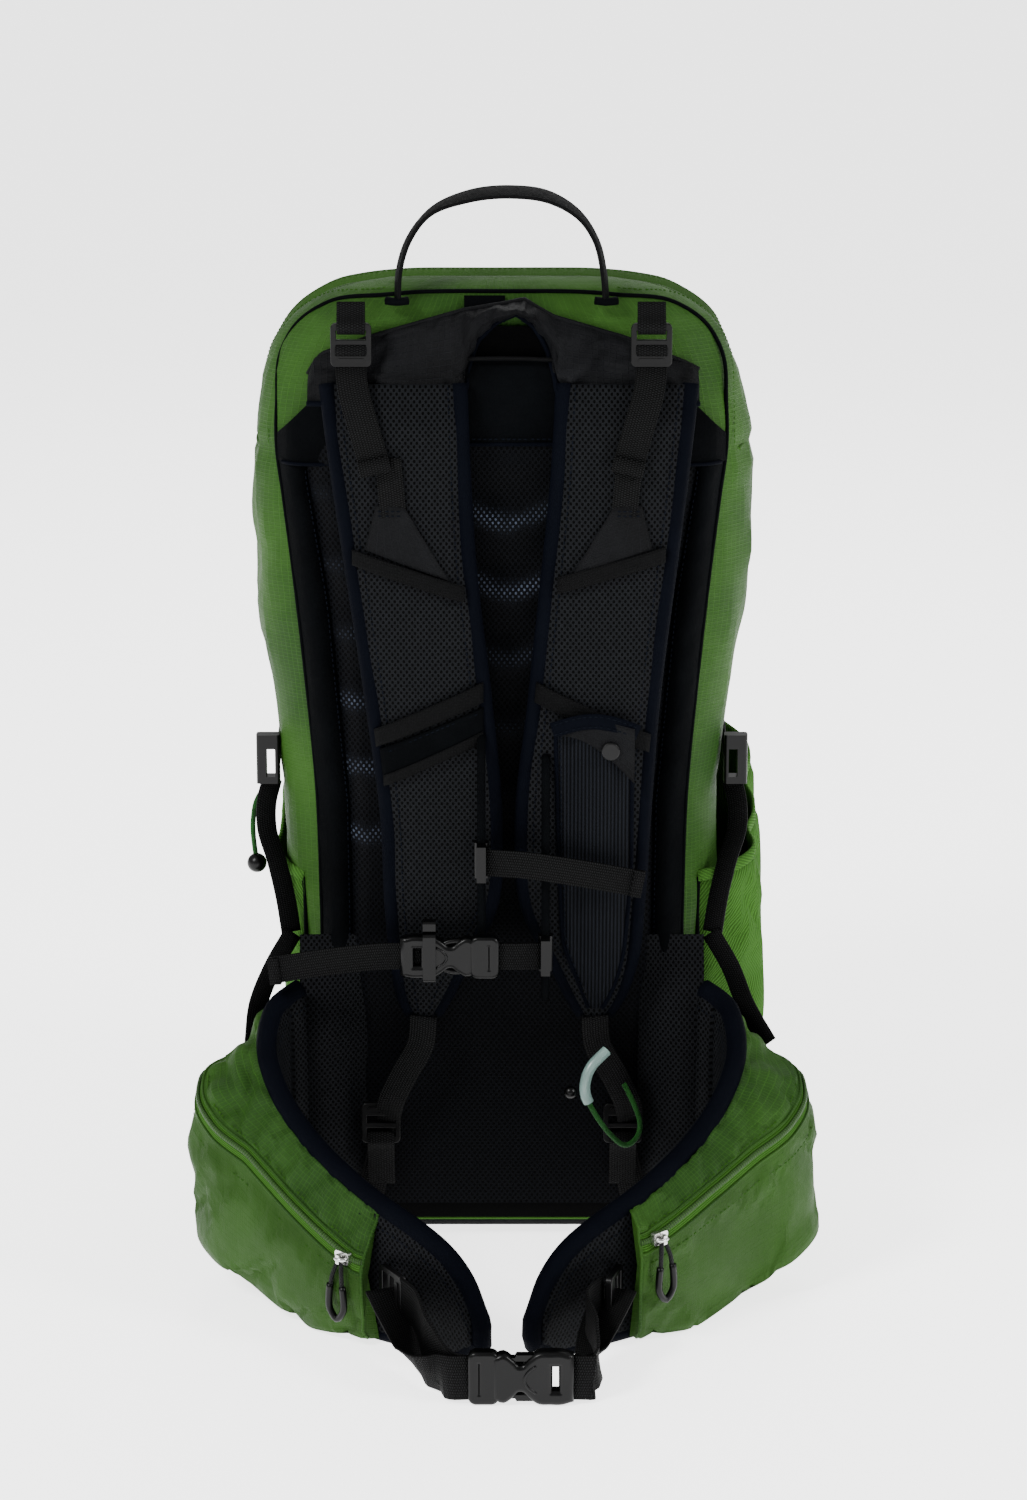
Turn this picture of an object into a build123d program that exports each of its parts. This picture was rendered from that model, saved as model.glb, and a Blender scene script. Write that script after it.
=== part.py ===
"""Hiking backpack of about 22 litres with harness, hip belt and buckles, in millimetres.

+Z is up, -Y is the harness side that lies on the wearer's back, +X is the right-hand side as seen from the
harness side. The origin is the centre of the base, on the ground.
"""

import os
from math import atan2, cos, degrees, hypot, pi, radians, sin, sqrt, tan

from build123d import *

os.makedirs("parts", exist_ok=True)

# ---------------------------------------------------------------- driving dimensions
WALL = 2.5  # bag fabric with its lining and seam allowance, as one wall
BACK = 100.0  # the back panel's plane is y = -BACK
GAP = 0.3  # clearance between separate pieces
FAR = 400.0  # reach of a cutting solid, past everything

BASE_PANEL = 3.0
# height, half width, front y, back y, corner radius of the bag's cross-sections
BAG_SECTIONS = [
    (BASE_PANEL + GAP, 108, 90, -93, 30),
    (16, 115, 100, -BACK, 32),
    (120, 118, 114, -BACK, 35),
    (270, 121, 122, -BACK, 38),
    (360, 134, 123, -BACK, 40),
    (460, 137, 112, -BACK, 40),
    (508, 126, 94, -BACK, 38),
    (532, 108, 70, -BACK, 34),
    (541, 90, 44, -94, 30),
    (546, 64, 14, -80, 22),
]
HINGE_Y, HINGE_Z = 126.0, 330.0  # the fold line of the zipped hood, across the bag's front
ZIP_TOP_Y, ZIP_TOP_Z = -43.0, 546.0  # where the zip crosses the top
ZIP_GAP = 0.5

FOAM = 12.0  # back foam thickness
FOAM_RIDGE_PITCH = 45.0
WEB_T = 1.4  # webbing thickness
HARNESS_WEB = 15.0  # load lifter, sternum and side webbing width
BELT_WEB = 20.0  # hip belt webbing width

HARNESS_SHIFT = 4.0  # the harness sits this far to +X of the bag's middle
STRAP_TOP, STRAP_LOW = 487.0, 140.0
STRAP_R, STRAP_CY, STRAP_CZ = 2400.0, 2276.0, 300.0  # circle that the strap's inner face follows
STRAP_T = 10.0
# height, inner edge and outer edge of a shoulder strap, measured from the harness's middle
STRAP_EDGES = [
    (STRAP_TOP, 27, 98),
    (398, 21, 87),
    (320, 13, 75.5),
    (236, 7, 68),
    (190, 12, 65),
    (STRAP_LOW, 32, 50),
]

STERNUM_Z = 183.0  # height of the sternum buckle
CHEST_BAND_Z = 236.0
RAIL_Y = -BACK - 40.5
STERNUM_Y = RAIL_Y - 7
RAILS = {-1: (-11.0, 192.0, 298.0), 1: (24.0, 157.0, 286.0)}  # x and the two ends' heights

WING_T = 12.0
WING_ROOT = (112.0, -124.0)
# the right wing's middle line seen from above
WING_PATH = [WING_ROOT, (125, -133), (131, -156), (120, -184), (80, -230), (22, -272), (5, -284)]
WING_BENDS = [14, 30, 50, 60, 60]
# y and z of the wing's upper edge, from its root to its tip
WING_TOP = [(-112, 172), (-130, 150), (-150, 131), (-195, 100)]
WING_TOP += [(-245, 75), (-266, 57), (-281, 34), (-292, 10)]
POCKET_OUT = [(138, -134), (163, -150), (160, -178), (79, -252), (69, -245)]
POCKET_TOP = [(-130, 120), (-150, 112), (-250, 70)]
SLIDER_Z = {-1: 49.0, 1: 60.0}  # heights of the closed zip sliders
SLIDER_INSET = 4.0  # from the pocket's front corner to its closed zip slider
BELT_PIVOT = (62.0, -258.0, 35.0)  # pivot bar of the belt's lock, beside the wing's end
BUCKLE_Y = -326.0
BELT_WEB_Z = 14.8


# ---------------------------------------------------------------- helpers
def save(piece, name):
    """Labels a finished piece and writes it as one STEP file."""
    piece.part.label = name
    export_step(piece.part, f"parts/{name}.step")


def side_name(side):
    return "right" if side > 0 else "left"


def sideways(points, side, shift=0.0):
    """Points of the right-hand side, or their mirror image for the left-hand side."""
    return [(side * p[0] + shift, *p[1:]) for p in points]


def prism(points, plane, amount):
    """A straight solid on a closed outline."""
    with BuildPart() as solid:
        with BuildSketch(plane):
            with BuildLine():
                Polyline(*points, close=True)
            make_face()
        extrude(amount=amount)
    return solid.part


def box_between(low, high):
    """A box from its lowest to its highest corner."""
    size = [high[i] - low[i] for i in range(3)]
    middle = [(high[i] + low[i]) / 2 for i in range(3)]
    with BuildPart() as solid:
        with Locations(tuple(middle)):
            Box(*size)
    return solid.part


def common(first, second):
    """What two solids share."""
    with BuildPart() as shared:
        add(first)
        add(second, mode=Mode.INTERSECT)
    return shared.part


# ---------------------------------------------------------------- bag
def bag_form(grow=0.0):
    """The bag's outer form, grown or shrunk evenly."""
    with BuildPart() as form:
        for i, (z, half, front, back, corner) in enumerate(BAG_SECTIONS):
            ends = {0: -grow, len(BAG_SECTIONS) - 1: grow}
            with BuildSketch(Plane.XY.offset(z + ends.get(i, 0.0))):
                with Locations((0, (front + back) / 2)):
                    RectangleRounded(2 * (half + grow), front - back + 2 * grow, corner + grow)
        loft(ruled=True)
    return form.part


ZIP_RUN = hypot(ZIP_TOP_Y - HINGE_Y, ZIP_TOP_Z - HINGE_Z)
ZIP_DIR = (0.0, (ZIP_TOP_Y - HINGE_Y) / ZIP_RUN, (ZIP_TOP_Z - HINGE_Z) / ZIP_RUN)
ZIP_PLANE = Plane(
    origin=(0, HINGE_Y, HINGE_Z), x_dir=(1, 0, 0), z_dir=(0, ZIP_DIR[2], -ZIP_DIR[1])
)


def bag_shells():
    """The bag below the zip and the hood above it, as two open shells."""
    outer, inner = bag_form(), bag_form(-WALL)
    for name, keep, offset in (("main_bag", Keep.BOTTOM, -ZIP_GAP), ("hood", Keep.TOP, ZIP_GAP)):
        with BuildPart() as shell:
            add(outer)
            add(inner, mode=Mode.SUBTRACT)
            split(bisect_by=ZIP_PLANE.offset(offset), keep=keep)
        save(shell, name)


def base_panel():
    """Coated panel that the bag stands on."""
    with BuildPart() as panel:
        with BuildSketch():
            RectangleRounded(206, 176, 28)
        extrude(amount=BASE_PANEL)
    save(panel, "base_panel")


def main_sliders():
    """The two zip sliders of the main compartment, each with its tab."""
    height = 380.0
    along = (height - HINGE_Z) / ZIP_DIR[2]
    y = HINGE_Y + along * ZIP_DIR[1]
    for side in (-1, 1):
        at = Plane(origin=(side * 141.5, y, height), x_dir=(1, 0, 0), z_dir=ZIP_DIR)
        with BuildPart() as slider:
            with BuildSketch(at):
                RectangleRounded(4, 9, 1.5)
            extrude(amount=11)
            with BuildSketch(at.offset(-24)):
                with Locations((side * 1.2, 0)):
                    RectangleRounded(2.4, 5, 0.8)
            extrude(amount=24)
        save(slider, f"main_slider_{side_name(side)}")


def side_pockets():
    """Stretch bottle pockets, open at the top, sewn to the bag's sides."""
    top_front, top_back, low = 262.0, 212.0, 14.0
    for side, reach in ((-1, 130.0), (1, 150.0)):
        profile = [(-88, low + 8), (-80, low), (66, low), (74, low + 8), (74, top_front), (-88, top_back)]
        inside = [(-86, low + 9), (-79, low + 2), (65, low + 2), (72, low + 9), (72, FAR), (-86, FAR)]
        belly = [(100, 30), (116, 12), (reach - 6, 30), (reach, 80), (reach, 140)]
        belly += [(reach - 12, FAR), (100, FAR)]
        hollow = [(100, 32), (116, 14), (reach - 8, 31), (reach - 2, 81), (reach - 2, 140)]
        hollow += [(reach - 14, FAR), (100, FAR)]
        room = common(
            prism(inside, Plane.YZ, side * FAR),
            prism(sideways(hollow, side), Plane.XZ.offset(-FAR), 2 * FAR),
        )
        with BuildPart() as pocket:
            add(prism(profile, Plane.YZ, side * FAR))
            add(prism(sideways(belly, side), Plane.XZ.offset(-FAR), 2 * FAR), mode=Mode.INTERSECT)
            add(room, mode=Mode.SUBTRACT)
            add(bag_form(GAP), mode=Mode.SUBTRACT)
        save(pocket, f"side_pocket_{side_name(side)}")


def front_pocket():
    """Stretch pocket on the bag's front, open at the top."""
    outline = [(-92, 60), (-78, 46), (78, 46), (92, 60), (86, 268), (-86, 268)]
    hollow = [(-90, 62), (-77, 48), (77, 48), (90, 62), (84, FAR), (-84, FAR)]
    belly = [(90, 40), (128, 46), (142, 90), (142, 220), (134, 300), (90, 300)]
    room = [(90, 49), (127, 49), (140, 91), (140, 220), (132, 300), (90, 300)]
    space = common(
        prism(hollow, Plane.XZ.offset(-FAR), 2 * FAR), prism(room, Plane.YZ.offset(-FAR), 2 * FAR)
    )
    with BuildPart() as pocket:
        add(prism(outline, Plane.XZ.offset(-FAR), 2 * FAR))
        add(prism(belly, Plane.YZ.offset(-FAR), 2 * FAR), mode=Mode.INTERSECT)
        add(space, mode=Mode.SUBTRACT)
        add(bag_form(GAP), mode=Mode.SUBTRACT)
    save(pocket, "front_pocket")


def side_straps():
    """Compression webbing on both sides, one strap above and one below the bottle pocket's mouth."""
    with BuildPart() as straps:
        add(bag_form(GAP + WEB_T))
        add(bag_form(GAP), mode=Mode.SUBTRACT)
        stretch = [(-62, 268), (-62, 283), (88, 300), (88, 285)]
        add(prism(stretch, Plane.YZ.offset(-FAR), 2 * FAR), mode=Mode.INTERSECT)
    save(straps, "side_straps")


def side_buckles():
    """Strap adjusters that stand on the bag's sides behind the back panel's edge."""
    with BuildPart() as buckles:
        for side in (-1, 1):
            with BuildSketch(Plane.XY.offset(262)):
                with Locations((side * 131, -74)):
                    RectangleRounded(13, 9, 2)
            extrude(amount=28)
            with BuildSketch(Plane.XY.offset(266)):
                with Locations((side * 129.5, -74)):
                    Rectangle(5, 20)
            extrude(amount=HARNESS_WEB + 1, mode=Mode.SUBTRACT)
    save(buckles, "side_buckles")


# ---------------------------------------------------------------- inside the bag
def frame_parts():
    """Plastic frame sheet, its peripheral rod and the sleeve for a drinking bladder."""
    inner = -BACK + WALL
    with BuildPart() as sheet:
        with BuildSketch(Plane.XZ.offset(-inner - GAP)):
            with Locations((0, 262)):
                RectangleRounded(164, 460, 30)
            with Locations((0, 262)), GridLocations(44, 110, 3, 4):
                RectangleRounded(22, 60, 8, mode=Mode.SUBTRACT)
        extrude(amount=-1.5)
    save(sheet, "frame_sheet")
    rod_y = inner + GAP + 1.5 + GAP + 2.5
    with BuildPart() as rod:
        with BuildLine():
            path = FilletPolyline(
                (-74, rod_y, 40), (-80, rod_y, 486), (80, rod_y, 486), (74, rod_y, 40), radius=28
            )
        with BuildSketch(Plane(origin=path @ 0, z_dir=path % 0)):
            Circle(2.2)
        sweep()
    save(rod, "frame_rod")
    sleeve_y = rod_y + 2.2 + GAP
    with BuildPart() as sleeve:
        with BuildSketch(Plane.XZ.offset(-sleeve_y)):
            with Locations((0, 240)):
                RectangleRounded(168, 400, 20)
        extrude(amount=-1.2)
    save(sleeve, "hydration_sleeve")


# ---------------------------------------------------------------- back panel
def back_foam():
    """Ridged ventilation foam with the lumbar pad at its foot."""
    outline = [(-84, 26), (84, 26), (84, 258), (94, 372), (100, 448), (100, STRAP_TOP), (-100, STRAP_TOP)]
    outline += [(-100, 448), (-94, 372), (-84, 258)]
    face = Plane.XZ.offset(BACK + FOAM)
    with BuildPart() as foam:
        add(prism(outline, Plane.XZ.offset(BACK + GAP), FOAM - GAP))
        for side in (-1, 1):
            low, high = sorted((side * 82, side * (WING_ROOT[0] - 6.4)))
            add(box_between((low, -BACK - 24, 42), (high, -BACK - FOAM + 0.2, 160)))
        with BuildSketch(face):
            with Locations((0, 322)), GridLocations(0, FOAM_RIDGE_PITCH, 1, 7):
                Rectangle(240, 16)
        extrude(amount=-4, mode=Mode.SUBTRACT)
    save(foam, "back_foam")


def back_borders():
    """Fabric borders at both edges of the back panel."""
    points = [(84.4, 60), (100, 60), (101, 200), (102, 258), (111, 372), (121, 448), (121, 462)]
    points += [(103, 478), (100.4, 478), (100.4, 448), (94.4, 372), (84.4, 258)]
    with BuildPart() as borders:
        for side in (-1, 1):
            add(prism(sideways(points, side), Plane.XZ.offset(BACK + GAP), 8))
        add(bag_form(GAP), mode=Mode.SUBTRACT)
    save(borders, "back_borders")


def harness_yoke():
    """Fabric yoke that covers the straps' upper ends, with its middle tab below it."""
    outline = [(-103, 489), (-22, 489), (-18, 508), (-2, 520), (16, 520), (28, 508), (31, 489), (108, 489)]
    outline += [(108, 503), (62, 521), (18, 532), (-42, 524), (-78, 513), (-103, 503)]
    with BuildPart() as yoke:
        add(prism(outline, Plane.XZ.offset(BACK + GAP), FOAM + 1))
        add(box_between((-18, -BACK - FOAM - 1.5, 457), (26, -BACK - FOAM - GAP, 488)))
    save(yoke, "harness_yoke")


def grab_handle():
    """Webbing loop for carrying, above the middle of the back edge."""
    foot_x, foot_z, width = 56.0, 534.0, 10.0
    with BuildPart() as handle:
        with BuildSketch(Plane.XZ.offset(BACK + 2 * GAP)):
            with BuildLine():
                FilletPolyline(
                    (-foot_x, foot_z),
                    (-51, 575),
                    (-26, 593),
                    (26, 593),
                    (51, 575),
                    (foot_x, foot_z),
                    radius=24,
                )
            trace(line_width=WEB_T)
        extrude(amount=width)
    save(handle, "grab_handle")


# ---------------------------------------------------------------- ladder locks
def ladder_lock(web):
    """A ladder lock for webbing of this width: its pivot bar's middle is the origin, it hangs along -Z."""
    half, low = web / 2 + 3.4, -21.5
    with BuildPart() as lock:
        with BuildSketch(Plane.XZ.offset(-1.8)):
            with Locations((0, (low + 2) / 2)):
                RectangleRounded(2 * half, 2 - low, 3)
            for middle, height in ((-4.4, 4.8), (-11.9, 4.6)):
                with Locations((0, middle)):
                    Rectangle(web + 0.8, height, mode=Mode.SUBTRACT)
        extrude(amount=3.6)
        fillet(lock.edges().group_by(Axis.Y)[0] + lock.edges().group_by(Axis.Y)[-1], 0.5)
        with BuildSketch(Plane.XZ.offset(1.8)):
            with Locations((0, -18)):
                RectangleRounded(web - 1, 2.4, 1)
        extrude(amount=0.7)
    return lock.part


def lock_loop(web, rise):
    """The webbing loop round a ladder lock's pivot bar and the doubled webbing above it."""
    with BuildPart() as loop:
        with BuildSketch(Plane.YZ.offset(-web / 2)):
            Circle(4.3)
            Circle(2.9, mode=Mode.SUBTRACT)
            with Locations((0, 3.6 + rise / 2)):
                Rectangle(2 * WEB_T, rise)
        extrude(amount=web)
    return loop.part


LIFTER_X = 80.0
TOP_LOCK = (-BACK - FOAM - 1 - 5.5, 524.0)  # y and z of the load lifter lock's pivot bar
LOW_LOCK = (-BACK - FOAM - 6.5, 66.0)
LOW_LOCK_X = 68.0


def harness_locks():
    """The load lifters' locks at the top and the strap locks at the bottom, with their loops."""
    upper = [Location((side * LIFTER_X, *TOP_LOCK)) for side in (-1, 1)]
    lower = [Location((side * LOW_LOCK_X, *LOW_LOCK), (0, 180, 0)) for side in (-1, 1)]
    rows = (("top_lock", upper, "lifter_loops", 12), ("low_lock", lower, "low_loops", 26))
    for name, places, loops, rise in rows:
        for side, place in zip((-1, 1), places):
            with BuildPart() as lock:
                add(ladder_lock(HARNESS_WEB).moved(place))
            save(lock, f"{name}_{side_name(side)}")
        with BuildPart() as pair:
            add([lock_loop(HARNESS_WEB, rise).moved(place) for place in places])
        save(pair, loops)


# ---------------------------------------------------------------- shoulder straps
def strap_layer(points, low, high, side):
    """A layer that follows the strap's curve, between two heights above its inner face, on an outline."""
    with BuildPart() as layer:
        with BuildSketch(Plane.YZ.offset(-FAR)):
            with Locations((STRAP_CY, STRAP_CZ)):
                Circle(STRAP_R + high)
                Circle(STRAP_R + low, mode=Mode.SUBTRACT)
        extrude(amount=2 * FAR)
        add(
            prism(sideways(points, side, HARNESS_SHIFT), Plane.XZ.offset(BACK), FAR),
            mode=Mode.INTERSECT,
        )
    return layer.part


def strap_y(z, height):
    """y of the surface this far above the strap's inner face, at a height above the ground."""
    return STRAP_CY - sqrt((STRAP_R + height) ** 2 - (z - STRAP_CZ) ** 2)


def shoulder_straps():
    """Padded shoulder straps, their webbing and the rails that the sternum clips slide on."""
    outline = [(e[1], e[0]) for e in STRAP_EDGES] + [(e[2], e[0]) for e in reversed(STRAP_EDGES)]
    lifter = [(70, 486), (85, 486), (75, 448), (60, 448)]
    patch = [(58, 446.5), (70, 446.5), (72, 429), (77, 410), (33, 393), (55, 429)]
    bands = [
        [(27, 389), (83, 406), (83, 398), (26, 380)],
        [(17, 332), (75, 306), (74, 296), (16, 321)],
    ]
    for side in (-1, 1):
        name = side_name(side)
        with BuildPart() as pad:
            add(strap_layer(outline, 0, STRAP_T, side))
        save(pad, f"strap_pad_{name}")
        with BuildPart() as webbing:
            for shape in (lifter, patch, *bands):
                add(strap_layer(shape, STRAP_T + GAP, STRAP_T + GAP + WEB_T, side))
            low_end = sideways([(34, 138), (49, 138), (72, 93), (57, 93)], side, HARNESS_SHIFT)
            add(prism(low_end, Plane.XZ.offset(-LOW_LOCK[0] + 5), WEB_T))
        save(webbing, f"strap_webbing_{name}")
        x, foot_low, foot_high = RAILS[side]
        with BuildPart() as rail:
            with Locations((x, RAIL_Y, foot_low - 3)):
                Cylinder(2, foot_high - foot_low + 6, align=(Align.CENTER, Align.CENTER, Align.MIN))
            for z, reach in ((foot_low, 9), (foot_high, 3.5)):
                low, high = sorted((x - side * 2, x + side * reach))
                add(box_between((low, RAIL_Y, z - 3), (high, strap_y(z, STRAP_T) - GAP, z + 3)))
        save(rail, f"sternum_rail_{name}")


def strap_extras():
    """The right strap's mesh pocket, its snap flap and the pole loop's tube, cord and cord lock."""
    pocket = [(25, 304), (34, 310), (46, 312), (60, 310), (67, 304), (68, 262), (64, 215)]
    pocket += [(61, 180), (50, 146), (42, 148), (30, 190), (27, 240)]
    inner = [(28, 290), (66, 290), (66, 262), (62, 215), (59, 180), (49, 149), (43, 151)]
    inner += [(32, 190), (29, 240)]
    with BuildPart() as mesh:
        add(strap_layer(pocket, STRAP_T + WEB_T + 2 * GAP, STRAP_T + 6, 1))
        add(strap_layer(inner, STRAP_T + WEB_T + 3 * GAP, STRAP_T + 5, 1), mode=Mode.SUBTRACT)
    save(mesh, "strap_pocket")
    flap_y = strap_y(298, STRAP_T + 6) - GAP
    flap = sideways([(34, 309), (64, 305), (62, 279)], 1, HARNESS_SHIFT)
    with BuildPart() as flap_piece:
        add(prism(flap, Plane.XZ.offset(-flap_y), 1.2))
    save(flap_piece, "snap_flap")
    with BuildPart() as snap:
        with BuildSketch(Plane.XZ.offset(-flap_y + 1.2)):
            with Locations((HARNESS_SHIFT + 55, 297)):
                Circle(5)
        extrude(amount=2)
        fillet(snap.edges().sort_by(Axis.Y)[0], 0.9)
    save(snap, "snap_button")


# ---------------------------------------------------------------- side-release buckles
def buckle_socket(web, length):
    """The socket of a side-release buckle: it takes the prongs from -X, its webbing leaves at +X."""
    half, thick = web / 2 + 4.5, 9.0
    with BuildPart() as socket:
        with BuildSketch(Plane.XZ.offset(-thick / 2)):
            with Locations((length / 2, 0)):
                RectangleRounded(length, 2 * half, 3)
        extrude(amount=thick)
        fillet(socket.edges().group_by(Axis.Y)[0] + socket.edges().group_by(Axis.Y)[-1], 1.2)
        add(box_between((-1, -2.9, -half + 1.6), (length - 9, 2.9, half - 1.6)), mode=Mode.SUBTRACT)
        for end in (-1, 1):
            window = (9.0, 22.0)
            low, high = sorted((end * (half - 2.6), end * (half + 1)))
            add(box_between((window[0], -thick, low), (window[1], thick, high)), mode=Mode.SUBTRACT)
        slit = box_between((length - 8, -1.2, -web / 2 - 0.4), (length + 1, 1.2, web / 2 + 0.4))
        add(slit, mode=Mode.SUBTRACT)
    return socket.part


def buckle_plug(web):
    """The plug's body: its guide tongue points to +X, its webbing leaves at -X, the mouth is at x = 0."""
    half = web / 2 + 4.5
    with BuildPart() as plug:
        with BuildSketch(Plane.XZ.offset(-4)):
            with Locations((-6.6, 0)):
                RectangleRounded(12.4, 2 * half, 2.5)
        extrude(amount=8)
        fillet(plug.edges().group_by(Axis.Y)[0] + plug.edges().group_by(Axis.Y)[-1], 1)
        add(box_between((-14, -1.2, -web / 2 - 0.4), (-6.2, 1.2, web / 2 + 0.4)), mode=Mode.SUBTRACT)
        add(box_between((-1, -2, -2), (15, 2, 2)))
    return plug.part


def buckle_prong(web, end):
    """One sprung prong of the plug, on the +Z side for end = 1; it turns about its root at x = 0."""
    half = web / 2 + 4.5
    root, neck, head = end * (half - 5.2), end * (half - 3.4), end * (half - 1.9)
    points = [(0.2, root), (23, root), (23, neck), (20.5, head), (10, head), (9.2, neck), (0.2, neck)]
    return prism(points, Plane.XZ.offset(-2.4), 4.8)


def ribbon(points, width, z, radius):
    """Upright webbing that follows a route seen from above."""
    with BuildPart() as band:
        with BuildSketch(Plane.XY.offset(z - width / 2)):
            with BuildLine():
                FilletPolyline(*points, radius=radius)
            trace(line_width=WEB_T)
        extrude(amount=width)
    return band.part


SOCKET_LONG = 38.0
STERNUM_MOUTH = -16.0  # x of the sternum buckle's mouth
BELT_MOUTH = -2.0  # x of the hip belt buckle's mouth
WEB_ENDS = {-1: BELT_MOUTH - 11.5, 1: BELT_MOUTH + SOCKET_LONG - 1.8}  # x where the belt's webbing ends


def sternum_strap():
    """The sternum buckle, its whistle, webbing and the two clips on the straps' rails."""
    left_x, right_x = RAILS[-1][0], RAILS[1][0]
    mouth = Location((STERNUM_MOUTH, STERNUM_Y, STERNUM_Z), (0, 180, 0))
    with BuildPart() as socket:
        add(buckle_socket(HARNESS_WEB, SOCKET_LONG).moved(mouth))
    save(socket, "sternum_socket")
    with BuildPart() as plug:
        add(buckle_plug(HARNESS_WEB).moved(mouth))
        for end in (-1, 1):
            add(buckle_prong(HARNESS_WEB, end).moved(mouth))
            low, high = sorted((STERNUM_Z + end * 6.8, STERNUM_Z + end * 8.6))
            x, y = STERNUM_MOUTH, STERNUM_Y
            add(box_between((x - 1, y - 2.4, low), (x + 1, y + 2.4, high)))
    save(plug, "sternum_plug")
    with BuildPart() as whistle:
        with BuildSketch(Plane.YZ.offset(STERNUM_MOUTH - 27)):
            with Locations((STERNUM_Y, STERNUM_Z)):
                RectangleRounded(12.4, 27.6, 2)
                RectangleRounded(9.4, 24.6, 1, mode=Mode.SUBTRACT)
            with Locations((STERNUM_Y, STERNUM_Z + 17)):
                RectangleRounded(7, 6.6, 1.5)
        extrude(amount=7)
    save(whistle, "whistle")
    far_left = STERNUM_MOUTH - SOCKET_LONG + 3
    tail_route = [(far_left, STERNUM_Y), (far_left - 25, STERNUM_Y + 2), (-127, STERNUM_Y + 7)]
    with BuildPart() as tail:
        add(ribbon(tail_route, HARNESS_WEB, STERNUM_Z, 60))
    save(tail, "sternum_tail")
    band_route = [(left_x + 0.6, RAIL_Y - 7), (40, RAIL_Y - 8), (74, RAIL_Y - 7.2)]
    with BuildPart() as webs:
        add(ribbon(band_route, HARNESS_WEB, CHEST_BAND_Z, 60))
        low = (STERNUM_MOUTH + 7.9, STERNUM_Y - WEB_T / 2, STERNUM_Z - HARNESS_WEB / 2)
        add(box_between(low, (right_x, STERNUM_Y + WEB_T / 2, STERNUM_Z + HARNESS_WEB / 2)))
    save(webs, "sternum_webs")


def rail_clips():
    """Clips that slide up and down the rails and carry the webbing's ends."""
    for side, z in ((-1, CHEST_BAND_Z), (1, STERNUM_Z)):
        x = RAILS[side][0]
        with BuildPart() as clip:
            with BuildSketch(Plane.XY.offset(z - 10)):
                with Locations((x, RAIL_Y)):
                    RectangleRounded(8, 7.4, 2)
                    Circle(2.35, mode=Mode.SUBTRACT)
                with Locations((x, RAIL_Y - 8)):
                    Rectangle(5, 9.6)
            extrude(amount=20)
            with BuildSketch(Plane.XY.offset(z - 8)):
                with Locations((x, RAIL_Y - 7)):
                    Rectangle(9, 2.4)
            extrude(amount=16, mode=Mode.SUBTRACT)
        save(clip, f"sternum_clip_{side_name(side)}")


# ---------------------------------------------------------------- hip belt
def wing_profile(edge, low):
    """Closed outline in y and z under an upper edge."""
    return [(edge[0][0], low), *edge, (edge[-1][0], low)]


def wing_wall(path, thickness):
    """An upright wall along the wing's middle line."""
    with BuildPart() as wall:
        with BuildSketch():
            with BuildLine():
                FilletPolyline(*path, radius=WING_BENDS)
            trace(line_width=thickness)
        extrude(amount=200)
    return wall.part


def belt_heading(side):
    """Direction, seen from above, in which the belt's webbing leaves its lock."""
    return atan2(BUCKLE_Y - BELT_PIVOT[1], side * (WEB_ENDS[side] * side + 8 - BELT_PIVOT[0]))


def belt_lock_place(shape, side):
    """Turns a lock or a loop from its own frame to its place beside the wing's end."""
    turned = shape.rotate(Axis.Y, -90).rotate(Axis.Z, degrees(belt_heading(side)))
    return turned.moved(Location((side * BELT_PIVOT[0], *BELT_PIVOT[1:])))


def belt_wings():
    """Padded hip belt wings that stand on the ground and curl round in front, with zipped pockets."""
    for side in (-1, 1):
        name = side_name(side)
        path = sideways(WING_PATH, side)
        with BuildPart() as wing:
            add(wing_wall(path, WING_T))
            outline = wing_profile(WING_TOP, 0) + [(-180, 0), (-150, 10), (-112, 40)]
            add(prism(outline[1:], Plane.YZ.offset(-FAR), 2 * FAR), mode=Mode.INTERSECT)
            add(belt_lock_place(lock_loop(BELT_WEB, 4), side))
        save(wing, f"belt_wing_{name}")
        plan = sideways(POCKET_OUT + [(80, -230), (122, -182), (131, -154)], side)
        with BuildPart() as pocket:
            add(prism(plan, Plane.XY.offset(3), 150))
            add(prism(wing_profile(POCKET_TOP, 3), Plane.YZ.offset(-FAR), 2 * FAR), mode=Mode.INTERSECT)
            add(wing_wall(path, WING_T + 2 * GAP), mode=Mode.SUBTRACT)
            add(pocket.solids().sort_by(SortBy.VOLUME)[-1], mode=Mode.REPLACE)
        save(pocket, f"belt_pocket_{name}")


def belt_zips():
    """Zip sliders of the belt pockets and the pulls that hang on them."""
    rear, front = POCKET_OUT[2], POCKET_OUT[3]
    run = hypot(rear[0] - front[0], rear[1] - front[1])
    for side in (-1, 1):
        name = side_name(side)
        tangent = (side * (rear[0] - front[0]) / run, (rear[1] - front[1]) / run)
        outward = (side * abs(tangent[1]), -abs(tangent[0]))
        x = side * front[0] + tangent[0] * SLIDER_INSET + outward[0] * 2.6
        y = front[1] + tangent[1] * SLIDER_INSET + outward[1] * 2.6
        at = Plane((x, y, SLIDER_Z[side]), x_dir=(side * tangent[0], side * tangent[1], 0), z_dir=(*outward, 0))
        with BuildPart() as slider:
            with BuildSketch(at.offset(-2)):
                RectangleRounded(10, 7, 1.5)
            extrude(amount=3)
            with BuildSketch(at.offset(1)):
                Rectangle(2.4, 5)
            extrude(amount=3.4)
        save(slider, f"belt_slider_{name}")
        with BuildPart() as pull:
            with BuildSketch(at.offset(1.6)):
                with Locations((0, -11)):
                    SlotOverall(34, 10, rotation=90)
                    SlotOverall(29, 5.6, rotation=90, mode=Mode.SUBTRACT)
            extrude(amount=2)
        save(pull, f"belt_pull_{name}")


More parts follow.
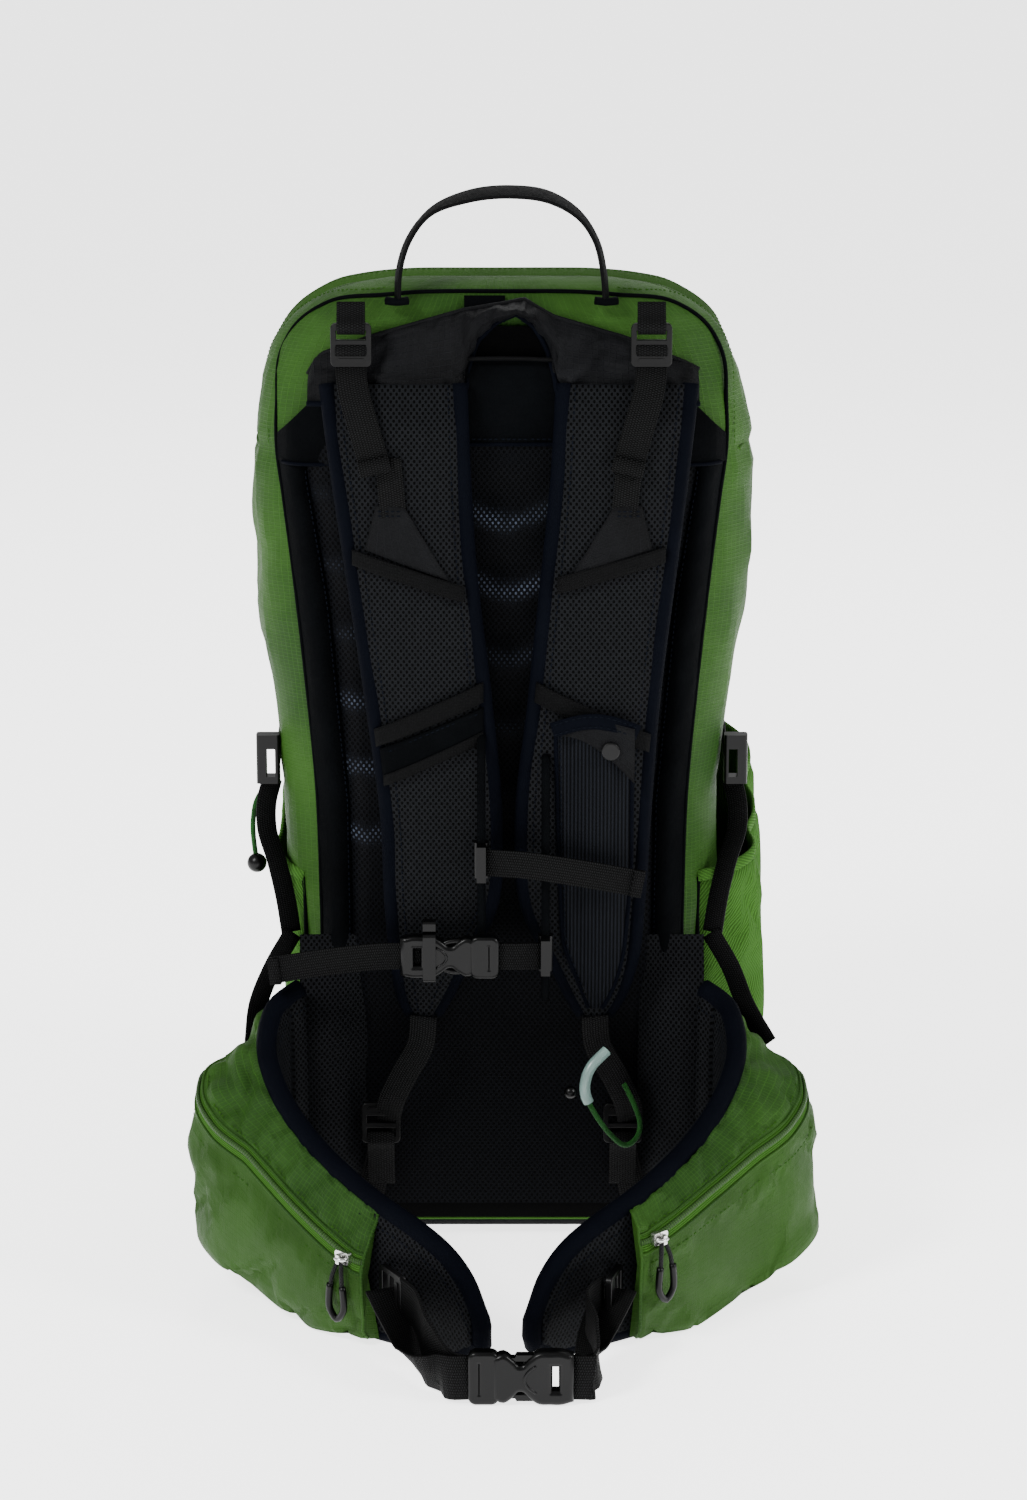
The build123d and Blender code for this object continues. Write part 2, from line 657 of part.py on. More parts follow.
def belt_strap():
    """The hip belt's webbing, adjusters and side-release buckle, which stands on its edge."""
    mouth = Location((BELT_MOUTH, BUCKLE_Y, BELT_WEB_Z))
    pieces = {
        "belt_socket": buckle_socket(BELT_WEB, SOCKET_LONG),
        "belt_plug": buckle_plug(BELT_WEB),
        "belt_prong_upper": buckle_prong(BELT_WEB, 1),
        "belt_prong_lower": buckle_prong(BELT_WEB, -1),
    }
    for name, shape in pieces.items():
        with BuildPart() as piece:
            add(shape.moved(mouth))
        save(piece, name)
    for side in (-1, 1):
        name = side_name(side)
        with BuildPart() as lock:
            add(belt_lock_place(ladder_lock(BELT_WEB), side))
        save(lock, f"belt_lock_{name}")
        heading = belt_heading(side)
        bend, end = WEB_ENDS[side] + side * 8, WEB_ENDS[side]
        start = Vector(side * BELT_PIVOT[0], BELT_PIVOT[1]) + Vector(cos(heading), sin(heading)) * 25
        reach = (Vector(bend, BUCKLE_Y) - start).length
        high, low = BELT_PIVOT[2], BELT_WEB_Z
        slope = [(0, high - 10), (0, high + 10), (reach, low + 10), (reach, low - 10)]
        face = Plane(start, x_dir=(cos(heading), sin(heading), 0), z_dir=(sin(heading), -cos(heading), 0))
        with BuildPart() as band:
            add(prism(slope, face.offset(-WEB_T / 2), WEB_T))
            low_corner = (min(bend, end), BUCKLE_Y - WEB_T / 2, low - 10)
            add(box_between(low_corner, (max(bend, end), BUCKLE_Y + WEB_T / 2, low + 10)))
        save(band, f"belt_web_{name}")


# ---------------------------------------------------------------- cords
def bend_radii(points):
    """Radius of each bend of a cord, as large as the two runs beside it allow."""
    radii = []
    for a, b, c in zip(points, points[1:], points[2:]):
        before, after = Vector(*b) - Vector(*a), Vector(*c) - Vector(*b)
        turn = radians(before.get_angle(after))
        radii.append(0.45 * min(before.length, after.length) / tan(turn / 2))
    return radii


def cord_solid(points, diameter):
    """A cord as straight runs joined by tangent arcs."""
    radii = bend_radii(points)
    print("cord radii", [round(r, 1) for r in radii])
    with BuildPart() as cord:
        with BuildLine():
            path = FilletPolyline(*points, radius=radii)
        with BuildSketch(Plane(origin=path @ 0, z_dir=path % 0)):
            Circle(diameter / 2)
        sweep()
    share = cord.part.volume / (path.length * pi * diameter**2 / 4)
    print("cord length", round(path.length, 1), "volume over section times length", round(share, 4))
    return cord.part


TOOL_CORD = [(-132, -74, 261.2), (-138, -74.5, 253), (-140, -75, 243), (-140.5, -75, 232), (-139, -76, 221)]
POLE_CORD = [
    (68, -131, 103),
    (75, -138, 92),
    (78, -143, 79),
    (69, -146, 70),
    (59, -147, 80),
    (51, -148, 92),
    (45, -149, 105),
    (48, -147, 118),
    (58, -141, 126),
]


def ball(place, radius):
    """A round knob."""
    with BuildPart() as knob:
        with Locations(place):
            Sphere(radius)
    return knob.part


def cords():
    """The tool loop at the left side with its knob, and the pole loop on the right strap."""
    with BuildPart() as tool_cord:
        add(cord_solid(TOOL_CORD, 3))
    save(tool_cord, "tool_cord")
    along = (Vector(*TOOL_CORD[-1]) - Vector(*TOOL_CORD[-2])).normalized()
    with BuildPart() as knob:
        add(ball(Vector(*TOOL_CORD[-1]) + along * 5.45, 5.5))
    save(knob, "tool_knob")
    with BuildPart() as pole_cord:
        add(cord_solid(POLE_CORD, 3))
    save(pole_cord, "pole_cord")
    entry = (Vector(*POLE_CORD[5]) + Vector(*POLE_CORD[6])) * 0.5
    with BuildPart() as tube:
        with BuildLine():
            path = FilletPolyline(entry, *POLE_CORD[6:], radius=bend_radii(POLE_CORD)[5:])
        with BuildSketch(Plane(origin=path @ 0, z_dir=path % 0)):
            Circle(3)
            Circle(1.7, mode=Mode.SUBTRACT)
        sweep()
    save(tube, "pole_loop_tube")
    with BuildPart() as knob:
        add(ball((38, -147.5, 104), 3.6))
    save(knob, "pole_knob")


def main():
    bag_shells()
    base_panel()
    main_sliders()
    side_pockets()
    front_pocket()
    side_straps()
    side_buckles()
    frame_parts()
    back_foam()
    back_borders()
    harness_yoke()
    grab_handle()
    harness_locks()
    shoulder_straps()
    strap_extras()
    sternum_strap()
    rail_clips()
    belt_wings()
    belt_zips()
    belt_strap()
    cords()


main()
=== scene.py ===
"""Looks of the hiking backpack: cloth, mesh, webbing, buckles and light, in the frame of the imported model.

Sizes in this script are millimetres and become metres where a mesh is made. +Z is up, -Y is the harness side.
"""

from math import atan2, cos, pi, radians, sin, sqrt

import bmesh
import bpy
import numpy as np
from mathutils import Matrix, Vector, noise


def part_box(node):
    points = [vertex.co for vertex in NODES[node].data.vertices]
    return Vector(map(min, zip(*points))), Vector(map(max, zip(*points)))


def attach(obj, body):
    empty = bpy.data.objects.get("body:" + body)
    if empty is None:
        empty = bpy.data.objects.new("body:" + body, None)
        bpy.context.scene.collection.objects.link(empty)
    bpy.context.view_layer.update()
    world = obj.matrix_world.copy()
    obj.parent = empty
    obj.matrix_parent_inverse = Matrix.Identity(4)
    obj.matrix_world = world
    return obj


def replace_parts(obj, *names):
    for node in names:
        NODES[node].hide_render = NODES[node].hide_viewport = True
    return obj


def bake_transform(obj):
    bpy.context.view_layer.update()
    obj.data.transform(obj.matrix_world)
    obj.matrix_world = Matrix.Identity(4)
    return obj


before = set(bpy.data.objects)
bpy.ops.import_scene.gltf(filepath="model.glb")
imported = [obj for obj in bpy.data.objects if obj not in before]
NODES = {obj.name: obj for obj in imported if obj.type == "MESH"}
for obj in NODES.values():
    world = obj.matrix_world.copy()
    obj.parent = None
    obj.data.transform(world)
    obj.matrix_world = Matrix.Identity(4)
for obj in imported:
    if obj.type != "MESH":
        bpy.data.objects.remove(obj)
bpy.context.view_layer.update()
MM = 0.001

# ---------------------------------------------------------------- sizes shared with the frame
SECTIONS = np.array([  # height, half width, front y, back y, corner radius
    (3.3, 104, 86, -91, 26), (9, 110, 93, -98, 30), (20, 115, 100, -100, 32), (120, 118.5, 114, -100, 35),
    (200, 120.5, 119, -100, 36), (262, 122, 122, -100, 36), (300, 127, 123, -100, 37), (360, 134.5, 123, -100, 38),
    (420, 138, 119, -100, 40), (460, 137, 112, -100, 42), (492, 131.5, 101, -100, 42), (516, 121, 91, -99, 40),
    (526, 113, 82, -99, 38), (532, 106, 56, -98, 36), (537, 98, 20, -96, 32), (541, 88, -20, -93, 26),
    (544, 76, -42, -89, 20), (546.4, 60, -57, -84, 12),
])
HINGE = np.array((126.0, 330.0))  # y and z of the hood's fold line
ZIP_TOP = np.array((-43.0, 546.0))
HARNESS_X = 4.0
STRAP_R, STRAP_CY, STRAP_CZ = 2400.0, 2276.0, 300.0  # the arc that a strap's back follows
STRAP_T = 10.0
STRAP_EDGES = {  # height, inner and outer edge from the harness's middle, for each side
    -1: [(494, 25, 99), (440, 23, 92), (398, 20.5, 86), (320, 12, 75), (250, 6.5, 67), (206, 9, 65.5), (172, 25, 62),
         (150, 36, 58), (140, 42, 53)],
    1: [(494, 28, 99), (440, 25, 93), (398, 21, 88), (320, 13, 79), (250, 6, 74.5), (206, 9, 72), (172, 25, 68),
        (150, 36, 60), (140, 42, 53)],
}
RAIL_Y = -140.5
STERNUM_Z, BAND_Z = 183.0, 236.0
WING_PATH = {-1: [(112, -124), (124, -135), (129, -156), (121, -183), (84, -228), (29, -268), (12, -282.5)],
             1: [(112, -124), (124, -135), (129, -156), (121, -183), (84, -228), (35, -264), (18, -280)]}
PIVOT = (62.0, -258.0, 35.0)  # of the right belt lock
BUCKLE = (-2.0, -326.0, 14.8)  # mouth of the belt buckle's socket
LOWEST = 0.0004  # metres: no piece goes lower than this


# ---------------------------------------------------------------- curves and grids
def run_along(points):
    """Distance from a line's first point to each of its points."""
    return np.r_[0, np.cumsum(np.linalg.norm(np.diff(points, axis=0), axis=1))]


def smooth(points, step=4.0, count=None):
    """Points about one step apart on a smooth curve through these."""
    p = np.array(points, float)
    chord = run_along(p)
    slopes = np.gradient(p, chord, axis=0)
    t = np.linspace(0, chord[-1], count or max(3, int(chord[-1] / step) + 1))
    i = np.clip(np.searchsorted(chord, t, side="right") - 1, 0, len(p) - 2)
    h = chord[i + 1] - chord[i]
    s = ((t - chord[i]) / h)[:, None]
    h = h[:, None]
    first = (2 * s**3 - 3 * s**2 + 1) * p[i] + (s**3 - 2 * s**2 + s) * slopes[i] * h
    return first + (3 * s**2 - 2 * s**3) * p[i + 1] + (s**3 - s**2) * slopes[i + 1] * h


def spread(values, points, count):
    """Directions given at a line's points, carried evenly along the line."""
    values, points = np.asarray(values, float), np.asarray(points, float)
    if values.ndim == 1:
        return np.broadcast_to(values, (count, 3))
    run = run_along(points)
    at = np.linspace(0, run[-1], count)
    return np.stack([np.interp(at, run, values[:, k]) for k in range(3)], axis=1)


def unit(v):
    v = np.asarray(v, float)
    return v / np.maximum(np.linalg.norm(v, axis=-1, keepdims=True), 1e-9)


def rough(points, size, seed=0.0):
    """Smooth noise from -1 to 1 at each point, with features of about this size in millimetres."""
    flat = np.asarray(points, float).reshape(-1, 3) / size + seed
    values = [noise.noise(Vector(q)) for q in flat]
    return np.array(values).reshape(np.asarray(points).shape[:-1])


def add_object(name, data):
    obj = bpy.data.objects.new(name, data)
    bpy.context.scene.collection.objects.link(obj)
    return obj


def add_mesh(name, verts, faces, loops, material, body, slot=None, marks=None):
    """A mesh piece from millimetre points, with a UV of metres per loop, riding on a body.

    material is a key of MAT, or a list of keys that marks chooses from, one for each face. The slot argument is not
    used.
    """
    verts = np.asarray(verts, float) * MM
    if not np.isfinite(verts).all():
        raise ValueError(f"{name} has points that are not numbers")
    if name != "floor":
        verts[:, 2] = np.maximum(verts[:, 2], LOWEST)
    mesh = bpy.data.meshes.new(name)
    mesh.from_pydata(verts.tolist(), [], faces)
    layer = mesh.uv_layers.new(name="UVMap")
    layer.data.foreach_set("uv", (np.asarray(loops, np.float32) * MM).ravel())
    looks = [material] if isinstance(material, str) else material
    for look in looks:
        mesh.materials.append(MAT[look])
    if marks is not None:
        mesh.polygons.foreach_set("material_index", marks)
    mesh.polygons.foreach_set("use_smooth", [True] * len(faces))
    obj = add_object(name, mesh)
    if body:
        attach(obj, body)
    return obj


def grid(name, p, material, body, wrap=False, caps=False, uv=None, **more):
    """A surface from rows of points; wrap closes each row on itself, caps closes the two ends."""
    p = np.asarray(p, float)
    n, m = p.shape[:2]
    cols = m if wrap else m - 1
    if uv is None:
        ring = np.concatenate([p, p[:, :1]], axis=1) if wrap else p
        across = np.cumsum(np.r_[0, np.linalg.norm(np.diff(ring, axis=1), axis=2).mean(axis=0)])
        along = np.cumsum(np.r_[0, np.linalg.norm(np.diff(p, axis=0), axis=2).mean(axis=1)])
        uv = np.stack(np.meshgrid(across, along), axis=-1)
    i, j = np.meshgrid(np.arange(n - 1), np.arange(cols), indexing="ij")
    i, j = i.ravel(), j.ravel()
    k = (j + 1) % m
    faces = np.stack([i * m + j, i * m + k, (i + 1) * m + k, (i + 1) * m + j], axis=1).tolist()
    loops = np.stack([uv[i, j], uv[i, j + 1], uv[i + 1, j + 1], uv[i + 1, j]], axis=1).reshape(-1, 2)
    if caps:
        faces += [list(range(m))[::-1], list(range((n - 1) * m, n * m))]
        loops = np.concatenate([loops, uv[0, :m][::-1], uv[-1, :m]])
    marks = more.pop("marks", None)
    if marks is not None and caps:
        marks = list(marks) + [marks[0], marks[-1]]
    return add_mesh(name, p.reshape(-1, 3), faces, loops, material, body, marks=marks, **more)


def frames(path, side):
    """Tangent, side and outward directions along a path, from a wanted side direction."""
    tangent = unit(np.gradient(path, axis=0))
    side = np.broadcast_to(np.asarray(side, float), path.shape)
    out = unit(np.cross(tangent, side))
    return tangent, unit(np.cross(out, tangent)), out


def sweep(name, path, section, material, body, side=(1, 0, 0), scale=None, **more):
    """A closed section (across, out) carried along a path."""
    path, section = np.asarray(path, float), np.asarray(section, float)
    _, across, out = frames(path, side)
    scale = np.ones((len(path), 2)) if scale is None else np.asarray(scale, float)
    a = (section[None, :, 0] * scale[:, :1])[..., None] * across[:, None]
    b = (section[None, :, 1] * scale[:, 1:])[..., None] * out[:, None]
    edge = np.r_[section, section[:1]]
    around = edge[:, 0] if more.pop("flat_uv", False) else run_along(edge)
    uv = np.stack(np.meshgrid(around, run_along(path)), axis=-1)
    return grid(name, path[:, None] + a + b, material, body, wrap=True, caps=True, uv=uv, **more)


def round_section(radius, flat=1.0, count=12):
    angle = np.arange(count) * 2 * pi / count
    return np.stack([radius * np.cos(angle), radius * flat * np.sin(angle)], axis=1)


def tape_section(width, thick):
    w, t, e = width / 2, thick / 2, min(0.5, thick / 2)
    return np.array([(-w, -t + e * 0.6), (-w, t - e * 0.6), (-w + e, t), (0, t), (w - e, t), (w, t - e * 0.6),
                     (w, -t + e * 0.6), (w - e, -t), (0, -t), (-w + e, -t)])


def webbing(name, points, width, body, side=(1, 0, 0), thick=1.5, material=None, step=3.0, **more):
    """Flat webbing along a smooth route. side is its width direction, one or one for each point."""
    path = smooth(points, step)
    side = spread(side, points, len(path))
    return sweep(name, path, tape_section(width, thick), material or "webbing", body, side=side,
                 flat_uv=True, slot="webbing", **more)


def tube(name, points, radius, material, body, step=3.0, side=(0.3, 1, 0.2), count=10, flat=1.0, **more):
    return sweep(name, smooth(points, step), round_section(radius, flat, count), material, body, side=side, **more)


def wall(obj, thick, offset=-1):
    """Gives a sheet its thickness, in millimetres."""
    made = obj.modifiers.new("wall", "SOLIDIFY")
    made.thickness = thick * MM
    made.offset = offset
    return made


def stitches(name, lines, body, pitch=3.2, length=2.1, width=0.75, lift=0.35, color="thread"):
    """Rows of small stitches. Each line is points and the outward directions of the cloth under them."""
    verts, faces = [], []
    for points, outward in lines:
        dense = smooth(points, 1.0)
        outs = spread(outward, points, len(dense))
        run = run_along(dense)
        tangent = unit(np.gradient(dense, axis=0))
        for at in np.arange(pitch / 2, run[-1], pitch):
            i = int(np.searchsorted(run, at))
            i = min(i, len(dense) - 1)
            t, o = tangent[i], unit(outs[i])
            s = np.cross(t, o)
            base = len(verts)
            for a, b, h in ((-1, 0, 0), (-0.6, -1, 0.2), (-0.6, 1, 0.2), (0.6, -1, 0.2), (0.6, 1, 0.2), (1, 0, 0),
                            (-0.6, 0, 1), (0.6, 0, 1)):
                verts.append(dense[i] + t * a * length / 2 + s * b * width / 2 + o * (h * lift + 0.05))
            for f in ((0, 1, 6), (0, 6, 2), (1, 3, 7, 6), (6, 7, 4, 2), (3, 5, 7), (7, 5, 4)):
                faces.append([base + k for k in f])
    count = sum(len(f) for f in faces)
    return add_mesh(name, verts, faces, np.zeros((count, 2)), color, body)


# ---------------------------------------------------------------- materials
class Look:
    """A procedural material: its shader, and short names for the nodes that drive it."""

    def __init__(self, name, rough=0.7, metal=0.0, specular=0.5):
        self.mat = bpy.data.materials.new(name)
        self.mat.use_nodes = True
        self.tree = self.mat.node_tree
        self.shader = self.tree.nodes["Principled BSDF"]
        self.shader.inputs["Roughness"].default_value = rough
        self.shader.inputs["Metallic"].default_value = metal
        self.shader.inputs["Specular IOR Level"].default_value = specular

    def node(self, kind, **values):
        made = self.tree.nodes.new(kind)
        for key, value in values.items():
            setattr(made, key, value)
        return made

    def link(self, a, b):
        self.tree.links.new(a, b)

    def math(self, operation, *values):
        made = self.node("ShaderNodeMath", operation=operation)
        for i, value in enumerate(values):
            if isinstance(value, (int, float)):
                made.inputs[i].default_value = value
            else:
                self.link(value, made.inputs[i])
        return made.outputs[0]

    def uv(self, pitch_u, pitch_v, turn=0.0):
        """The two coordinates of the cloth, counted in threads or cells."""
        source = self.node("ShaderNodeUVMap", uv_map="UVMap").outputs[0]
        mapping = self.node("ShaderNodeMapping")
        mapping.inputs["Rotation"].default_value[2] = turn
        self.link(source, mapping.inputs[0])
        split = self.node("ShaderNodeSeparateXYZ")
        self.link(mapping.outputs[0], split.inputs[0])
        u = self.math("MULTIPLY", split.outputs[0], 1000 / pitch_u)
        return u, self.math("MULTIPLY", split.outputs[1], 1000 / pitch_v)

    def place(self, scale):
        """The point's place on the object, scaled."""
        made = self.node("ShaderNodeTexCoord").outputs["Object"]
        mapping = self.node("ShaderNodeMapping")
        mapping.inputs["Scale"].default_value = (scale, scale, scale)
        self.link(made, mapping.inputs[0])
        return mapping.outputs[0]

    def noise(self, scale, detail=3.0):
        made = self.node("ShaderNodeTexNoise")
        made.inputs["Scale"].default_value = 1.0
        made.inputs["Detail"].default_value = detail
        self.link(self.place(scale), made.inputs["Vector"])
        return made.outputs["Fac"]

    def wave(self, value):
        """A smooth wave from 0 to 1 with one crest for each whole number."""
        turned = self.math("SINE", self.math("MULTIPLY", value, 2 * pi))
        return self.math("MULTIPLY_ADD", turned, 0.5, 0.5)

    def step(self, value, low, high):
        made = self.node("ShaderNodeMapRange", interpolation_type="SMOOTHSTEP")
        self.link(value, made.inputs[0])
        made.inputs[1].default_value = low
        made.inputs[2].default_value = high
        return made.outputs[0]

    def mix(self, factor, a, b):
        made = self.node("ShaderNodeMix", data_type="RGBA")
        for value, socket in ((factor, made.inputs[0]), (a, made.inputs[6]), (b, made.inputs[7])):
            if isinstance(value, tuple):
                socket.default_value = (*value, 1)
            elif isinstance(value, (int, float)):
                socket.default_value = value
            else:
                self.link(value, socket)
        return made.outputs[2]

    def finish(self, color, height=None, depth=0.0002, rough=None):
        self.link(color, self.shader.inputs["Base Color"])
        if height is not None:
            bump = self.node("ShaderNodeBump")
            bump.inputs["Strength"].default_value = 1.0
            bump.inputs["Distance"].default_value = depth
            self.link(height, bump.inputs["Height"])
            self.link(bump.outputs[0], self.shader.inputs["Normal"])
        if rough is not None:
            self.link(rough, self.shader.inputs["Roughness"])
        return self.mat


GREEN = (0.0185, 0.0560, 0.0058)
GREEN_LIGHT = (0.0230, 0.0680, 0.0095)
GREEN_DARK = (0.0080, 0.0300, 0.0028)
BLACK = (0.0003, 0.0004, 0.0006)
NAVY = (0.0006, 0.0009, 0.0021)


def times(color, share):
    """A colour times a number."""
    return tuple(c * share for c in color)


def ripstop(name, light, dark, cell=5.2, line=0.10, specular=0.10):
    """Plain weave with a raised thread every few millimetres, as on ripstop cloth."""
    look = Look(name, rough=0.62, specular=specular)
    u, v = look.uv(cell, cell * 0.62)

    def thread(value, wide, narrow):
        """1 along a thread at each whole number, and 0 between them."""
        off = look.math("ABSOLUTE", look.math("SUBTRACT", look.math("FRACT", value), 0.5))
        return look.step(off, 0.5 - line * wide, 0.5 - line * narrow)

    near = look.math("MAXIMUM", thread(u, 1.0, 0.4), thread(v, 1.4, 0.6))
    a, b = look.uv(0.62, 0.62)
    weave = look.math("MULTIPLY", look.wave(a), look.wave(b))
    wide, fine = look.noise(14), look.noise(220, 2)
    base = look.mix(look.step(wide, 0.3, 0.7), dark, light)
    base = look.mix(look.math("MULTIPLY", near, 0.38), base, times(light, 1.6))
    base = look.mix(look.math("MULTIPLY", fine, 0.25), base, dark)
    height = look.math("ADD", near, look.math("MULTIPLY", weave, 0.4))
    return look.finish(base, height, 0.00022, rough=look.math("MULTIPLY_ADD", fine, 0.2, 0.5))


def knit(name, light, dark, pitch=1.7, turn=0.6):
    """Ribbed stretch knit."""
    look = Look(name, rough=0.8, specular=0.05)
    u, v = look.uv(pitch, pitch * 0.8, turn)
    rib = look.wave(u)
    loops = look.wave(look.math("ADD", v, look.math("MULTIPLY", rib, 0.4)))
    height = look.math("MULTIPLY_ADD", loops, 0.25, rib)
    wide = look.noise(11)
    worn = look.mix(look.step(wide, 0.3, 0.7), light, times(light, 1.15))
    base = look.mix(look.step(rib, 0.15, 0.8), dark, worn)
    return look.finish(base, height, 0.0003)


def open_mesh(name, yarn, hole, pitch=3.1, painted_highlight=0.0, painted_highlight_color=(0.30, 0.36, 0.48)):
    """Spacer mesh: a lattice of small holes through which the layer beneath shows, with an optional painted highlight
    in the holes along the ridges' crests.
    """
    look = Look(name, rough=0.62, specular=0.03)
    u, v = look.uv(pitch, pitch * 1.25)
    cells = look.math("MULTIPLY", look.math("COSINE", look.math("MULTIPLY", u, 2 * pi)),
                      look.math("COSINE", look.math("MULTIPLY", v, 2 * pi)))
    holes = look.step(cells, 0.10, 0.55)
    under = hole
    if painted_highlight:
        # painted highlight: the holes are mixed towards a bluish white where the Ridge UV gives a crest's highlight
        # share, broken up by noise
        ridge = look.node("ShaderNodeSeparateXYZ")
        look.link(look.node("ShaderNodeUVMap", uv_map="Ridge").outputs[0], ridge.inputs[0])
        painted_highlight_mask = look.math("MULTIPLY", ridge.outputs[0], look.step(look.noise(45, 2), 0.30, 0.62))
        under = look.mix(look.math("MULTIPLY", painted_highlight_mask, painted_highlight), hole, painted_highlight_color)
    fine = look.noise(300, 2)
    thread = look.mix(fine, times(yarn, 0.7), times(yarn, 1.5))
    base = look.mix(holes, thread, under)
    return look.finish(base, look.math("SUBTRACT", 1.0, holes), 0.0005)


def woven_tape(name, light, dark, rows=1.25, columns=1.5):
    """Webbing: short floats that step sideways from row to row."""
    look = Look(name, rough=0.6, specular=0.05)
    u, v = look.uv(columns, rows)
    shift = look.math("MULTIPLY", look.math("FLOOR", u), 0.5)
    across = look.wave(look.math("SUBTRACT", u, 0.25))
    floats = look.wave(look.math("ADD", v, shift))
    height = look.math("MULTIPLY", look.math("POWER", across, 0.6), floats)
    fine = look.noise(400, 2)
    base = look.mix(look.step(height, 0.1, 0.75), dark, look.mix(fine, light, times(light, 1.5)))
    return look.finish(base, height, 0.00035)


def smooth_cloth(name, light, dark, pitch=0.55, rough=0.72, crease=0.0006):
    """Smooth tricot or lycra with a very fine weave and soft creases."""
    look = Look(name, rough=rough, specular=0.02)
    u, v = look.uv(pitch, pitch)
    weave = look.math("MULTIPLY", look.wave(u), look.wave(v))
    wide, fine = look.noise(20), look.noise(90, 4)
    base = look.mix(look.step(wide, 0.25, 0.75), dark, light)
    base = look.mix(look.math("MULTIPLY", fine, 0.3), base, times(light, 1.6))
    height = look.math("MULTIPLY_ADD", fine, 1.6, look.math("MULTIPLY", weave, 0.2))
    return look.finish(base, height, crease)


def moulded(name, color, rough=0.36):
    """Moulded plastic with a faint grain and rubbed patches."""
    look = Look(name, rough=rough, specular=0.15)
    fine, wide = look.noise(260, 4), look.noise(30)
    base = look.mix(look.step(wide, 0.4, 0.8), color, tuple(c * 1.7 + 0.002 for c in color))
    return look.finish(base, fine, 0.00006, rough=look.math("MULTIPLY_ADD", wide, 0.22, rough - 0.09))


def braid(name, light, dark, fleck=None):
    """Braided cord with a coloured fleck."""
    look = Look(name, rough=0.65, specular=0.15)
    u, v = look.uv(1.6, 1.8)
    twist = look.wave(look.math("ADD", u, v))
    other = look.wave(look.math("SUBTRACT", u, v))
    cell = look.math("MAXIMUM", twist, other)
    base = look.mix(look.step(cell, 0.5, 0.95), dark, light)
    if fleck:
        base = look.mix(look.step(twist, 0.72, 0.8), base, fleck)
    return look.finish(base, cell, 0.0003)


def coil_look(name, light, dark):
    """Reverse coil of a zip."""
    look = Look(name, rough=0.5, specular=0.2)
    u, v = look.uv(40, 1.5)
    tooth = look.wave(v)
    base = look.mix(look.step(tooth, 0.2, 0.7), dark, light)
    return look.finish(base, tooth, 0.0005)


def brushed(name, color, rough=0.25):
    """Bare metal with a fine grain."""
    look = Look(name, rough=rough, metal=1.0)
    fine = look.noise(500, 4)
    base = look.mix(fine, color, times(color, 0.75))
    return look.finish(base, fine, 0.00003, rough=look.math("MULTIPLY_ADD", fine, 0.2, rough - 0.08))


def clear_tube(name):
    """Soft clear plastic that lets a little light in."""
    look = Look(name, rough=0.28, specular=0.5)
    look.shader.inputs["Subsurface Weight"].default_value = 0.35
    look.shader.inputs["Subsurface Radius"].default_value = (0.004, 0.005, 0.005)
    wide = look.noise(90)
    base = look.mix(wide, (0.10, 0.16, 0.145), (0.20, 0.29, 0.265))
    return look.finish(base, wide, 0.00005)


MAT = {
    "ripstop": ripstop("green_ripstop", times(GREEN, 1.12), GREEN_DARK, cell=3.3),
    "plain": ripstop("green_plain", times(GREEN, 1.06), times(GREEN, 0.72), cell=2.6, line=0.05),
    "knit": knit("green_stretch", times(GREEN_LIGHT, 1.5), GREEN_LIGHT),
    "tape_green": knit("green_zip_tape", times(GREEN_LIGHT, 1.35), GREEN, pitch=1.1, turn=0.0),
    "coil_green": coil_look("green_coil", GREEN, GREEN_DARK),
    "yoke": ripstop("black_ripstop", (0.0034, 0.0036, 0.0043), (0.0008, 0.0008, 0.0010), cell=3.4, specular=0.06),
    "panel": smooth_cloth("black_panel", (0.0011, 0.0014, 0.0018), BLACK),
    "base": smooth_cloth("coated_base", (0.0004, 0.0004, 0.0005), (0.0001, 0.0001, 0.0002), rough=0.6,
                         crease=0.0003),
    "binding": smooth_cloth("navy_binding", (0.0012, 0.0016, 0.0032), NAVY),
    "mesh": open_mesh("spacer_mesh", (0.0046, 0.0050, 0.0058), (0.0000, 0.0000, 0.0000)),
    # painted highlight: bluish white in the back mesh's holes along the ridges' crests
    "back_mesh": open_mesh("back_mesh", (0.0016, 0.0018, 0.0024), (0.0001, 0.0001, 0.0002), painted_highlight=0.8,
                           painted_highlight_color=(0.085, 0.105, 0.150)),
    "webbing": woven_tape("black_webbing", (0.0048, 0.0050, 0.0052), (0.0002, 0.0002, 0.0002)),
    "band": woven_tape("dark_band", (0.0030, 0.0032, 0.0035), (0.0003, 0.0003, 0.0004), rows=0.8, columns=0.9),
    "strap_mesh": knit("ribbed_strap_mesh", (0.0046, 0.0054, 0.0074), (0.0004, 0.0005, 0.0008), pitch=2.0,
                       turn=0.0),
    "thread": smooth_cloth("thread", (0.0026, 0.0034, 0.0056), (0.0010, 0.0015, 0.0027)),
    "thread_green": smooth_cloth("thread_green", GREEN, GREEN_DARK),
    "plastic": moulded("black_acetal", (0.0005, 0.0005, 0.0006), rough=0.30),
    "plastic_matt": moulded("black_nylon", (0.0016, 0.0016, 0.0018), rough=0.5),
    "metal": brushed("nickel", (0.62, 0.62, 0.60)),
    "rod": brushed("drawn_aluminium", (0.55, 0.56, 0.58)),
    "cord_green": braid("green_cord", (0.008, 0.085, 0.010), (0.002, 0.028, 0.002), fleck=(0.02, 0.14, 0.02)),
    "cord_black": braid("black_cord", (0.005, 0.005, 0.006), (0.001, 0.001, 0.001)),
    "tube": clear_tube("clear_sleeve"),
    "lining": smooth_cloth("grey_lining", (0.10, 0.105, 0.105), (0.07, 0.075, 0.075)),
}


